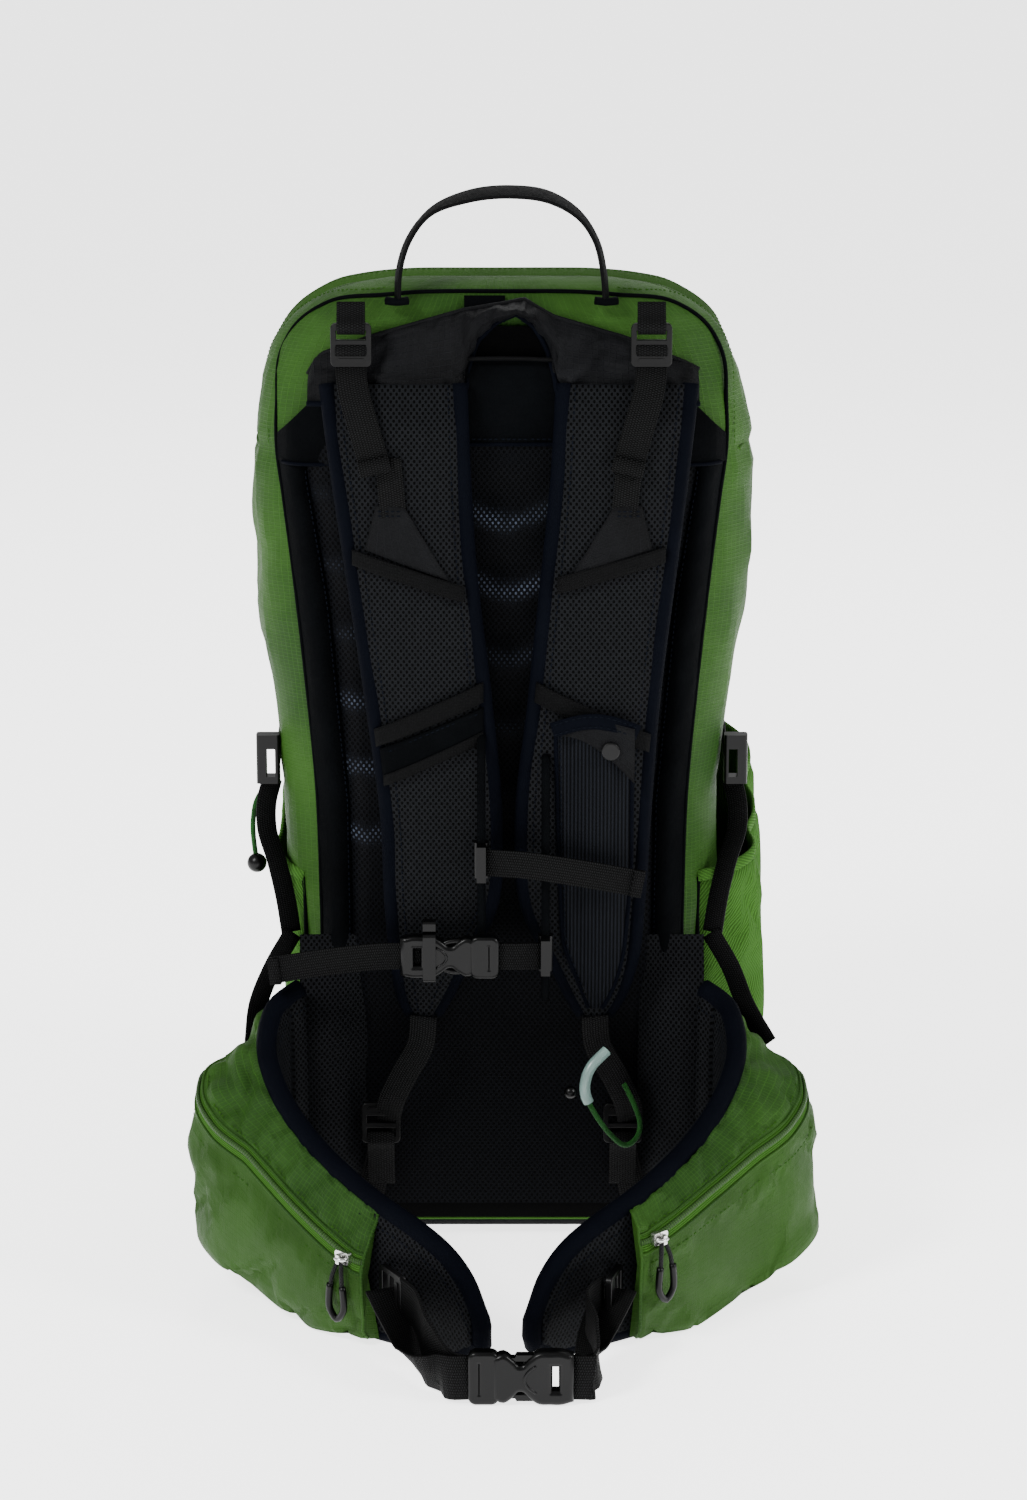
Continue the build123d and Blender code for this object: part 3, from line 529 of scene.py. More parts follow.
# ---------------------------------------------------------------- camera, light and floor
def camera():
    data = bpy.data.cameras.new("camera")
    data.sensor_fit = "VERTICAL"
    data.sensor_height = 36.0
    data.lens = 85.08
    obj = add_object("camera", data)
    obj.location = (0.0065, -2.0, 0.770)
    obj.rotation_euler = (radians(90 - 14.26), 0, 0)
    bpy.context.scene.camera = obj


def area_light(name, place, target, size, power):
    data = bpy.data.lights.new(name, "AREA")
    data.size = size
    data.energy = power
    obj = add_object(name, data)
    obj.location = place
    obj.rotation_euler = (Vector(target) - Vector(place)).to_track_quat("-Z", "Y").to_euler()


def floor_look():
    """White studio paper that glows a little, so that it stays white next to dark cloth."""
    look = Look("studio_paper", rough=0.9, specular=0.1)
    fine = look.noise(3.0, 2)
    base = look.mix(fine, (0.86, 0.86, 0.86), (0.90, 0.90, 0.90))
    look.shader.inputs["Emission Color"].default_value = (1, 1, 1, 1)
    look.shader.inputs["Emission Strength"].default_value = 2.5
    return look.finish(base)


def studio():
    world = bpy.data.worlds.new("studio")
    bpy.context.scene.world = world
    world.use_nodes = True
    world.node_tree.nodes["Background"].inputs[0].default_value = (1, 1, 1, 1)
    world.node_tree.nodes["Background"].inputs[1].default_value = 0.6
    area_light("key", (-1.5, -1.5, 2.1), (0, 0, 0.3), 0.7, 78)
    area_light("fill", (2.1, -0.9, 1.6), (0, 0, 0.25), 0.7, 50)
    area_light("rim", (0.2, 1.7, 2.3), (0, 0, 0.35), 1.6, 46)
    MAT["paper"] = floor_look()
    far = 40000
    floor = add_mesh("floor", [(-far, -far, 0), (far, -far, 0), (far, far, 0), (-far, far, 0)],
                     [[0, 1, 2, 3]], [(0, 0), (far, 0), (far, far), (0, far)], "paper", None)


def puff(obj, pinned, pressure=4.0, cap=6.0, grow=0.04, last=14):
    """Cloth simulation of a piece held at its seams: it swells and wrinkles, and keeps that shape."""
    mesh = obj.data
    before = np.empty(len(mesh.vertices) * 3)
    mesh.vertices.foreach_get("co", before)
    before = before.reshape(-1, 3)
    group = obj.vertex_groups.new(name="seam")
    group.add([int(i) for i in pinned], 1.0, "REPLACE")
    cloth = obj.modifiers.new("cloth", "CLOTH")
    cloth.settings.vertex_group_mass = "seam"
    cloth.settings.use_pressure = True
    cloth.settings.uniform_pressure_force = pressure
    cloth.settings.shrink_min = -grow
    cloth.settings.effector_weights.gravity = 0
    cloth.point_cache.frame_end = last
    scene = bpy.context.scene
    for step in range(1, last + 1):
        scene.frame_set(step)
    made = obj.evaluated_get(bpy.context.evaluated_depsgraph_get()).data
    after = np.empty_like(before).ravel()
    made.vertices.foreach_get("co", after)
    move = after.reshape(-1, 3) - before
    size = np.linalg.norm(move, axis=1, keepdims=True)
    move *= np.minimum(1, cap * MM / np.maximum(size, 1e-9))
    obj.modifiers.remove(cloth)
    obj.vertex_groups.remove(group)
    after = before + move
    after[:, 2] = np.maximum(after[:, 2], LOWEST)
    mesh.vertices.foreach_set("co", after.ravel())
    mesh.update()
    scene.frame_set(1)


def edge_of(rows, columns, lines=()):
    """Numbers of a grid's border vertices, and of the columns named."""
    index = np.arange(rows * columns).reshape(rows, columns)
    return np.unique(np.concatenate([index[0], index[-1], index[:, 0], index[:, -1], *(index[:, k] for k in lines)]))


def second_uv(obj, values):
    """A second UV that holds two numbers for each vertex."""
    layer = obj.data.uv_layers.new(name="Ridge")
    index = np.empty(len(obj.data.loops), int)
    obj.data.loops.foreach_get("vertex_index", index)
    layer.data.foreach_set("uv", np.asarray(values, np.float32).reshape(-1, 2)[index].ravel())


# ---------------------------------------------------------------- bag
def section_at(z):
    """Half width, front, back and corner radius of the bag at a height."""
    column = SECTIONS[:, 0]
    return [np.interp(z, column, SECTIONS[:, k]) for k in range(1, 5)]


def side_x(y, z, least=0):
    """Half width of the bag at y and z, round its corners."""
    half, front, back, corner = section_at(z)
    depth = max(back + corner - y, y - (front - corner), 0)
    return half - corner + sqrt(max(corner**2 - depth**2, least))


def ring(z, counts=(22, 7, 18, 7, 22, 7, 18, 7)):
    """Points round the bag at a height, from the back's left end, over the back, right side, front, left side."""
    half, front, back, corner = section_at(z)
    corners = [(half - corner, back + corner, -90), (half - corner, front - corner, 0),
               (corner - half, front - corner, 90), (corner - half, back + corner, 180)]
    points = []
    ends = [((corner - half, back), (half - corner, back)), ((half, back + corner), (half, front - corner)),
            ((half - corner, front), (corner - half, front)), ((-half, front - corner), (-half, back + corner))]
    for k in range(4):
        a, b = np.array(ends[k][0]), np.array(ends[k][1])
        for s in np.linspace(0, 1, counts[2 * k], endpoint=False):
            points.append((*(a + (b - a) * s), z))
        x, y, start = corners[k]
        for s in np.linspace(0, 1, counts[2 * k + 1], endpoint=False):
            angle = radians(start + 90 * s)
            points.append((x + corner * cos(angle), y + corner * sin(angle), z))
    return np.array(points)


def bag_grid():
    """The whole closed bag: rows of rings, then rows that close the top."""
    heights = np.r_[3.4, 5.5, 9, 14, 20, 27, np.arange(34, 512, 6.0), np.arange(514, 546, 1.6), 546.4]
    rows = [ring(z) for z in heights]
    top, middle = rows[-1], np.array((0, -70, 546.9))
    for share in (0.86, 0.66, 0.42, 0.18, 0.0):
        rows.append(middle + (top - middle) * share)
    rows.insert(0, np.array((0, 0, 3.4)) + (rows[0] - (0, 0, 3.4)) * 0.5)
    rows[0][:, 2] = 3.4
    p = np.array(rows)
    x, y, z = p[..., 0], p[..., 1], p[..., 2]
    out = unit(np.stack([x, y - 5, 0 * z], axis=-1))
    back = np.clip((-88 - y) / 10, 0, 1)
    fade = (1 - back) * np.clip(z / 60, 0, 1)
    slant = p * (1, 1, 0.28) + np.stack([0 * z, z * 0.22, 0 * z], axis=-1)
    folds = rough(slant, 20, 3.1) * 3.2 + rough(slant, 8, 7.7) * 1.5
    soft = rough(p, 60, 1.3) * 3.0
    side = np.clip((abs(x) - 95) / 25, 0, 1)
    upper = np.exp(-(((z - 405) / 60) ** 2)) * side
    gather = np.exp(-(((z - 452) / 5) ** 2)) * side * -1.6
    calm = 1 - 0.75 * np.clip((z - 505) / 25, 0, 1)
    below = np.exp(-(((z - 425) / 24) ** 2)) * side * (rough(p * (1, 1, 0.25), 13, 5.5) - 0.1) * 3.2
    p = p + out * (fade * calm * (folds * (0.5 + 0.9 * upper) + soft + gather * 1.5 + below))[..., None]
    # the top falls away to the front and to its shoulders
    wide = np.clip((abs(p[..., 0]) - 45) / 50, 0, 1)
    ahead = np.clip(p[..., 1] + 60, 0, 150)
    p[..., 2] -= 0.1155 * ahead * wide * np.clip((p[..., 2] - 462) / 50, 0, 1)
    p[..., 2] -= 4.0 * np.clip((p[..., 1] + 82) / 30, 0, 1) * np.clip((p[..., 2] - 505) / 25, 0, 1)
    p[..., 2] = np.maximum(p[..., 2], 3.3)
    return p


def over_zip(p):
    """Height of a point over the zip's plane, in millimetres."""
    along = unit(ZIP_TOP - HINGE)
    normal = np.array((along[1], -along[0]))
    return (p[..., 1] - HINGE[0]) * normal[0] + (p[..., 2] - HINGE[1]) * normal[1]


# height and half width of the piping round the back panel
PIPING = [(30, 101), (120, 101), (200, 101), (262, 102.5), (330, 108), (380, 113), (430, 119), (455, 122.3),
          (480, 122), (505, 120), (521, 111), (534, 92), (538.5, 60), (540, 0)]


def piping_x(z):
    """Half width of the back panel inside its piping."""
    return np.interp(z, [a for a, _ in PIPING], [b for _, b in PIPING])


def bag():
    """Lower bag, hood and the zip between them, cut from one soft form."""
    p = bag_grid()
    middle = (p[:-1] + p[1:]) / 2
    x, y, z = middle[..., 0], middle[..., 1], middle[..., 2]
    looks = ["ripstop", "base", "panel"]
    marks = np.zeros(middle.shape[:2], int)
    marks[z < 27] = looks.index("base")
    marks[(abs(x) < 80) & (y < -60) & (z < 468)] = looks.index("panel")
    bag_obj = grid("bag_body", p, looks, "pack", wrap=True, marks=marks.ravel())
    hood_obj = bag_obj.copy()
    hood_obj.data = bag_obj.data.copy()
    hood_obj.name = "bag_hood"
    bpy.context.scene.collection.objects.link(hood_obj)
    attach(hood_obj, "hood")
    along = unit(ZIP_TOP - HINGE)
    normal = Vector((0, along[1], -along[0]))
    for obj, keep in ((bag_obj, -1), (hood_obj, 1)):
        work = bmesh.new()
        work.from_mesh(obj.data)
        at = Vector((0, HINGE[0], HINGE[1])) * MM + normal * (keep * 0.0006)
        bmesh.ops.bisect_plane(work, geom=work.verts[:] + work.edges[:] + work.faces[:], plane_co=at,
                               plane_no=normal * keep, clear_inner=True, dist=1e-6)
        bmesh.ops.remove_doubles(work, verts=work.verts, dist=1e-5)
        bmesh.ops.recalc_face_normals(work, faces=work.faces)
        work.to_mesh(obj.data)
        work.free()
        obj.data.materials.append(MAT["lining"])
        inside = wall(obj, 1.8)
        inside.material_offset = len(looks)
        inside.material_offset_rim = 0
    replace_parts(bag_obj, "main_bag", "base_panel")
    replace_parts(hood_obj, "hood")
    zip_parts(zip_line(p))


def zip_line(p):
    """Where the zip's plane crosses the bag, from the left fold over the top to the right fold."""
    h = over_zip(p)
    points = []
    for j in range(p.shape[1]):
        for i in np.nonzero((h[:-1, j] < 0) != (h[1:, j] < 0))[0]:
            s = h[i, j] / (h[i, j] - h[i + 1, j])
            place = p[i, j] * (1 - s) + p[i + 1, j] * s
            if place[1] < 118:
                points.append(place)
    points.sort(key=lambda q: atan2(q[0], q[2] - 300))
    kept = points[:1]
    for q in points[1:]:
        if np.linalg.norm(q - kept[-1]) > 6:
            kept.append(q)
    return kept


def zip_parts(cut):
    """Zip tape, half of the coil and a row of stitches on each side of the cut."""
    path = smooth(cut, 4)
    along = unit(ZIP_TOP - HINGE)
    up = np.array((0, along[1], -along[0]))
    tangent = unit(np.gradient(path, axis=0))
    out = unit(np.cross(tangent, up))
    out = np.where((np.sum(out * (path - (0, 0, 400)), axis=1) < 0)[:, None], -out, out)
    width_way = np.tile(up, (len(path), 1))
    for body, sign in (("pack", -1), ("hood", 1)):
        sweep(f"zip_tape_{body}", path + out * 0.3 + up * sign * 5.0, tape_section(8.5, 0.7), "plain", body,
              side=width_way, flat_uv=True)
        sweep(f"zip_coil_{body}", path + out * 0.5 + up * sign * 1.2, round_section(1.1, 0.8, 8), "coil_green",
              body, side=width_way)
        line = path + out * 0.75 + up * sign * 8.0
        stitches(f"zip_stitches_{body}", [(line[::2], out[::2])], body, color="thread_green")


def bag_surface(x, z, lift=0.0):
    """y of the back panel's plane, or of its rounded edge, at x and z."""
    half, _, back, corner = section_at(z)
    over = max(abs(x) - (half - corner), 0)
    return back + corner - sqrt(max(corner**2 - over**2, 0)) - lift


def back_outline(points, lift, step=5.0):
    """Lays x and z points on the back of the bag as a smooth line."""
    flat = smooth([(x, 0, z) for x, z in points], step)
    return np.array([(x, bag_surface(x, z, lift), z) for x, _, z in flat])


def back_edges():
    """Dark piping round the back panel and the seams that run round the sides."""
    right = [(x, z) for z, x in PIPING]
    whole = right + [(-x, z) for x, z in right[-2::-1]]
    tube("back_piping", back_outline(whole, 0.7), 1.1, "panel", "pack")
    outer = [(x + 4.5 if x > 60 else x * 1.05, z + 4.5 * (1 - x / 125) ** 0.5 if x < 120 else z)
             for x, z in right[7:-1]]
    for way in (-1, 1):
        line = back_outline([(way * x, z) for x, z in outer], 0.8)
        out = unit(np.stack([line[:, 0] * 0.01, -np.ones(len(line)), np.full(len(line), 0.4)], axis=1))
        stitches(f"hood_stitches_{side_word(way)}", [(line, out)], "pack", color="thread_green")
    lines = []
    for side in (-1, 1):
        seam = []
        for s in np.linspace(0, 1, 14):
            y = -78 + 150 * s
            z = 452 + 6 * sin(pi * min(s * 2.2, 1)) - 10 * s
            seam.append((side * (side_x(y, z, 1) - 2.4), y, z))
        out = np.tile((side, 0, 0), (len(seam), 1))
        sweep(f"side_seam_{side_word(side)}", smooth(seam, 4), round_section(1.3, 0.8, 8), "ripstop", "pack",
              side=(0, 0, 1))
        lines.append((np.array(seam) + (0, 0, -3.0), out))
    stitches("side_seam_stitches", lines, "pack", color="thread_green")


def side_word(side):
    return "right" if side > 0 else "left"


def side_pockets():
    """Stretch side pockets with a bound mouth, fuller on the right."""
    for side, reach in ((-1, 129.0), (1, 150.0)):
        name = side_word(side)
        rows = []
        ys = np.linspace(-90, 76, 44)
        for s in np.linspace(0, 1, 30):
            row = []
            for y in ys:
                high = 212 + 50 * (y + 88) / 162
                z = 12 + (high - 12) * s
                skin = side_x(y, z) + 0.8
                edge = min((y + 90) / 34, (76 - y) / 34, 1)
                belly = sin(pi / 2 * max(edge, 0)) ** 0.8 * sin(pi / 2 * min(s * 4.5, 1)) * (1 - 0.18 * s**3)
                fold = 1 + 0.10 * sin(y / 9 + 3 * s + side) * (s**1.5)
                x = skin + (reach - skin - 2) * belly * fold
                row.append((side * x, y, z))
            rows.append(row)
        rows = np.array(rows)
        rows += unit(rows * (1, 0.3, 0)) * (rough(rows * (1, 1, 0.4), 18, 5 + side) * 1.8)[..., None]
        pocket = grid(f"side_pocket_cloth_{name}", rows, ["knit", "lining"], "pack")
        puff(pocket, edge_of(*rows.shape[:2]), cap=3.5)
        wall(pocket, 1.3)
        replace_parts(pocket, f"side_pocket_{name}")
        rim = rows[-1] + (0, 0, 0.4)
        sweep(f"side_pocket_rim_{name}", smooth(rim, 4), round_section(3.4, 0.42, 12), "knit", "pack",
              side=(0, 0.3, 1))
        edge = np.concatenate([rows[::-3, 0], rows[0, ::4], rows[::3, -1]])
        tube(f"side_pocket_seam_{name}", edge + (side * 0.6, 0, 0), 1.1, "panel", "pack")


def front_pocket():
    """Stretch pocket on the front with a bound mouth."""
    rows = []
    xs = np.linspace(-92, 92, 46)
    for s in np.linspace(0, 1, 30):
        row = []
        for x in xs:
            high = 268 + 6 * cos(x / 92 * pi / 2)
            z = 46 + (high - 46) * s
            skin = section_at(z)[1] + 0.8
            edge = min((92 - abs(x)) / 26, 1)
            belly = sin(pi / 2 * max(edge, 0)) ** 0.8 * sin(pi / 2 * min(s * 4, 1)) * (1 - 0.30 * s**3)
            row.append((x * (1 - 0.06 * s), skin + (141 - skin) * belly * (1 + 0.06 * sin(x / 11) * s), z))
        rows.append(row)
    rows = np.array(rows)
    rows[..., 1] += rough(rows * (1, 1, 0.5), 20, 9) * 1.6
    pocket = grid("front_pocket_cloth", rows, ["knit", "lining"], "pack")
    puff(pocket, edge_of(*rows.shape[:2]), cap=3.5)
    wall(pocket, 1.3)
    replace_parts(pocket, "front_pocket")
    sweep("front_pocket_rim", smooth(rows[-1], 4), round_section(3.8, 0.42, 12), "panel", "pack", side=(0, 0.2, 1))
    edge = np.concatenate([rows[::-3, 0], rows[0, ::4], rows[::3, -1]])
    tube("front_pocket_seam", edge + (0, 0.6, 0), 1.1, "panel", "pack")


# ---------------------------------------------------------------- back panel
def panel_half(z, inner=True):
    """Half width of the black border's inner or outer edge at a height."""
    if not inner:
        return piping_x(z) - 0.2
    return np.interp(z, [26, 170, 200, 258, 372, 448, 462, 490], [83.5, 83.5, 83.5, 84, 94, 106, 100, 96])


def foam_y(x, z):
    """Front of the ridged foam under its mesh, and how much light a ridge's crest catches."""
    side = abs(x) / panel_half(z)
    phase = (z + 15 * np.exp(-(((x - 4) / 26) ** 2)) - 276) / 38.0
    ridge = 0.5 + 0.5 * cos(2 * pi * phase)
    fade = np.clip((z - 205) / 30, 0, 1) * np.clip((455 - z) / 20, 0, 1)
    edge = np.clip((1.0 - side) / 0.10, 0, 1) ** 0.6
    off = (phase - 0.10) % 1.0
    crest = np.exp(-((min(off, 1 - off) / 0.10) ** 2)) * fade
    # painted highlight: kept strong only in the middle and on the left flank, faint elsewhere
    centre = np.exp(-(((x - 2) / 24) ** 2)) * np.exp(-(((z - 400) / 42) ** 2))
    flank = 0.9 * np.exp(-(((x + 80) / 16) ** 2)) * np.exp(-(((z - 275) / 60) ** 2))
    crest *= 0.10 + max(centre, flank)
    return -101.5 - (7.0 + 3.6 * (ridge - 0.5) * fade + 1.0) * edge, crest


def ease(value):
    value = np.clip(value, 0, 1)
    return value * value * (3 - 2 * value)


def back_panel():
    """Mesh over ridged foam, smooth borders at its sides and the base band below it."""
    zs, shares = np.arange(24, 478, 3.0), np.linspace(-1, 1, 61)
    made = [[(s * panel_half(z), *foam_y(s * panel_half(z), z), z) for s in shares] for z in zs]
    made = np.array(made)
    p = made[..., (0, 1, 3)]
    uv = np.stack([p[..., 0], p[..., 2]], axis=-1)
    mesh = grid("back_mesh", p, "back_mesh", "pack", uv=uv)
    # the Ridge UV carries each vertex's painted highlight share and its x
    second_uv(mesh, np.stack([made[..., 2], made[..., 0]], axis=-1))
    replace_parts(mesh, "back_foam")
    borders = []
    for side in (-1, 1):
        rows = []
        for z in np.arange(30, 452, 4.0):
            a, b = panel_half(z), panel_half(z, inner=False)
            rows.append([(side * (a + (b - a) * s), bag_surface(a + (b - a) * s, z, 1.0) - 5.5 * sin(pi * s) ** 0.7,
                          z) for s in np.linspace(0, 1, 13)])
        rows = np.array(rows)
        rows[..., 1] += rough(rows * (1, 1, 0.6), 26, 2 + side) * 1.6 + rough(rows, 9, 5 + side) * 0.5
        borders.append(grid(f"back_border_{side_word(side)}", rows, "panel", "pack"))
        seam = rows[::3, 1] + (0, -0.8, 0)
        stitches(f"border_stitches_{side_word(side)}", [(seam, (0, -1, 0))], "pack")
        top = []
        for v in np.linspace(0, 1, 14):
            row = []
            for x in np.linspace(84, 122, 14):
                z = 448 + v * (15 + (122.0 - x))
                full = 6.0 * sin(pi * min(max((122.5 - x) / 18, 0), 0.5))
                row.append((side * x, bag_surface(x, z, 1.6) - full, z))
            top.append(row)
        top = np.array(top)
        top[..., 1] += rough(top, 18, 11 + side) * 1.2
        grid(f"shoulder_panel_{side_word(side)}", top, "panel", "pack")
        tube(f"shoulder_panel_seam_{side_word(side)}", top[0, ::2] + (0, -0.4, 0), 1.1, "binding", "pack")
    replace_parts(borders[0], "back_borders")
    for side in (-1, 1):
        rows = []
        for z in np.linspace(30, 182, 36):
            xs = np.linspace(60, 113, 20)
            high = ease((182 - z) / 60) * ease((z - 28) / 24)
            rows.append([(side * x, -104.5 - 19.0 * ease((x - 62) / 44) * high, z) for x in xs])
        rows = np.array(rows)
        rows[..., 1] += rough(rows, 24, side) * 1.2
        grid(f"lumbar_root_{side_word(side)}", rows, "mesh", "pack")
    xs = np.linspace(-98, 98, 30)
    band = np.array([[(x, bag_surface(x, z, 1.6) - 1.2, z) for x in xs] for z in (12, 16, 20, 25)])
    grid("base_band", band, "base", "pack")
    tube("base_piping", [(x, bag_surface(x, 11.5, 1.2), 11.5) for x in xs], 1.5, "tape_green", "pack")


def yoke():
    """Ripstop yoke over the straps' upper ends, gathered round an opening darkened by a painted shade sheet, and the
    tab below it.
    """
    def top(x):
        return np.interp(x, [-104, -101, -68, -20, 2, 12, 17, 28, 67, 104, 109],
                         [496, 505, 517, 530.5, 534, 536, 533, 527, 515.5, 500, 496])

    def low(x):
        return np.interp(x, [-104, -26, -20, -17, -12, -3, 8, 16, 22, 27, 30, 34, 109],
                         [482, 482, 488, 503, 515, 524, 528.5, 523, 515, 503, 488, 482, 482])

    xs = np.r_[np.arange(-104, -30, 4.0), np.arange(-30, 38, 2.0), np.arange(38, 110, 4.0)]
    rows = []
    for s in np.linspace(0, 1, 16):
        row = []
        for x in xs:
            z = low(x) + (top(x) - low(x)) * s
            strap = min(max((abs(x - HARNESS_X) - 20) / 8, 0), 1)
            full = 13.0 * sin(pi * min(max(s * 0.9 + 0.07, 0), 1)) ** 0.55 + 7.5 * strap * (1 - s) ** 2
            crease = 2.2 * sin((x - 12) / 5.0) * np.exp(-(((x - 12) / 30) ** 2))
            row.append((x, bag_surface(x, z, 1.5) - full - 3.5 * strap * max(1 - 4 * s, 0) + crease * sin(pi * s), z))
        rows.append(row)
    rows = np.array(rows)
    rows[..., 1] += rough(rows * (0.55, 1, 1.5), 15, 4) * 3.0 + rough(rows, 7, 14) * 1.2
    cloth = grid("yoke_cloth", rows, "yoke", "pack")
    puff(cloth, edge_of(*rows.shape[:2]), cap=2.5, grow=0.06)
    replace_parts(cloth, "harness_yoke")
    edge = rows[0, ::2] + (0, -0.6, 0.6)
    tube("yoke_edge", edge, 1.5, "binding", "pack")
    top_edge = [(x, bag_surface(x, top(x), 1.5) - 2.5, top(x)) for x in xs[::2]]
    tube("yoke_top_edge", top_edge, 1.6, "yoke", "pack")
    # painted shade: a flat near-black sheet just in front of the back fills the yoke's opening
    opening_shade = [[(x, -102.0, z) for x in np.linspace(-22, 34, 12)] for z in np.linspace(480, 522, 10)]
    grid("yoke_opening", opening_shade, "base", "pack", slot="dark_fabric")
    tab = []
    for z in np.linspace(459, 505, 20):
        s = (z - 459) / 46
        bow = 3.0 * sin(pi * s) - 8.8 * max(s - 0.75, 0)
        tab.append([(x, -109.0 - bow - 1.2 * sin(pi * (x + 24) / 56), z) for x in np.linspace(-24, 32, 18)])
    tab = np.array(tab)
    tab[..., 1] += rough(tab, 14, 8) * 0.8
    grid("centre_tab", tab, "panel", "pack")
    tube("centre_tab_edge", [(x, -111.0, 505.0 + 1.0 * cos(x / 20)) for x in np.linspace(-24, 32, 8)], 1.2,
         "band", "pack")
    tube("centre_tab_foot", [(x, -110.2, 459.5) for x in np.linspace(-25, 33, 8)], 1.2, "binding", "pack")
    stitches("centre_tab_stitches", [([(x, -111.8, 462.5) for x in np.linspace(-24, 32, 8)], (0, -1, 0))], "pack")
    label = [[(x, bag_surface(x, z, 2.2), z) for x in np.linspace(-20, 2, 6)] for z in np.linspace(524, 538, 5)]
    grid("back_tab", label, "panel", "pack")


def handle():
    """Webbing grab handle whose middle is folded and bound."""
    points = [(-55.5, -103, 536), (-54.5, -104.5, 552), (-49, -106, 569), (-38, -107, 583), (-18, -107.5, 591.5),
              (5, -107.5, 594), (26, -107.5, 591), (42, -107, 581), (50.5, -106, 568), (54.5, -104.5, 552),
              (56, -103, 536)]
    path = smooth(points, 2.5)
    middle = np.clip(1 - (abs(path[:, 0] - 4) / 46) ** 4, 0, 1)
    scale = np.stack([0.72 + 0.5 * middle, np.full(len(path), 1.0)], axis=1)
    side = np.stack([0.35 * np.sign(path[:, 0]) * (1 - middle), np.full(len(path), 1.0), 0 * middle], axis=1)
    side[:, 2] = 0.55 * middle
    loop = sweep("handle_webbing", path, tape_section(9, 2.0), "band", "handle", side=side, scale=scale,
                 flat_uv=True, slot="webbing")
    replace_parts(loop, "grab_handle")
    for x in (-55.8, 56.2):
        tube(f"handle_tack_{side_word(x)}", [(x - 6, -103.5, 536), (x, -105, 535.5), (x + 6, -103.5, 536)], 2.2,
             "panel", "pack", slot="webbing")


def lock_webbing(name, x, y, z, width, direction, body, rise):
    """The loop of webbing round a ladder lock's pivot bar, and the doubled webbing above it."""
    u = np.array(direction, float)
    back = np.array((0, 1.0, 0))
    c = np.array((x, y, z), float)
    loop = [c + u * rise + back * 1.6, c + u * 6 + back * 1.8, c + back * 3.6, c - u * 3.6, c - back * 3.6,
            c + u * 6 - back * 1.8, c + u * rise - back * 1.2]
    return webbing(name, loop, width, body, side=(1, 0, 0), thick=1.4, step=1.5)


def top_locks():
    """Webbing at the load lifters: from the bag's seam, through the lock and down to the strap."""
    loops = []
    for side in (-1, 1):
        name = side_word(side)
        loops.append(lock_webbing(f"lifter_loop_{name}", side * 80, -118.5, 524, 15, (0, 0.25, 0.97), "pack", 13))
        x = side * 80
        path = [(x, -117.2, 516), (x + side * 0.3, -121.6, 511), (x + side * 0.2, -116.0, 505.5), (x, -121.5, 500),
                (x - side * 1.5, -126.5, 490), (x - side * 5.5, -130.0, 476), (x - side * 9.5, -131.5, 462),
                (x - side * 12.5, -132.5, 451)]
        web = webbing(f"lifter_{name}", path, 16.5, None, side=(1, 0, 0.0))
        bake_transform(web)
        web_end = [(x - side * 11.4, -133.2, 455), (x - side * 13.3, -134.6, 447)]
        webbing(f"lifter_fold_{name}", web_end, 17.0, f"strap_{name}", thick=3.4)
        for lock in (f"top_lock_{name}", f"low_lock_{name}"):
            paint(lock, "plastic")
    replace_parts(loops[0], "lifter_loops")


def paint(node, look):
    """Gives a CAD node that stays as it is a better material."""
    obj = NODES[node]
    obj.data.materials.clear()
    obj.data.materials.append(MAT[look])


# ---------------------------------------------------------------- shoulder straps
def strap_edge(side, z):
    """Distance of a strap's inner and outer edges from the harness's middle at a height."""
    table = np.array(STRAP_EDGES[side])[::-1]
    dense = smooth(np.c_[table, np.zeros(len(table))], 3)
    inner = np.interp(z, dense[:, 0], dense[:, 1])
    outer = np.interp(z, dense[:, 0], dense[:, 2])
    return inner, outer


def strap_point(side, share, z, lift=0.0, face=True):
    """A point on the strap: share is -1 at its inner edge and 1 at its outer edge."""
    inner, outer = strap_edge(side, z)
    middle, half = (inner + outer) / 2, (outer - inner) / 2
    back = STRAP_CY - np.sqrt(STRAP_R**2 - (z - STRAP_CZ) ** 2)
    crown = 1 - abs(share) ** 3
    full = min(1.0, 0.30 + max(494 - z, 0) / 22 * 0.70)
    y = back - (5.2 + (STRAP_T - 5.2) * crown) * full - lift if face else back + 0.4 - 1.2 * (1 - crown)
    return np.array((HARNESS_X + side * (middle + share * half), y, z))


def strap_at(side, x, z, lift=0.0):
    """A point on the strap's face at x, measured from the harness's middle, and z."""
    inner, outer = strap_edge(side, z)
    share = (x - (inner + outer) / 2) / ((outer - inner) / 2)
    return strap_point(side, np.clip(share, -1, 1), z, lift)


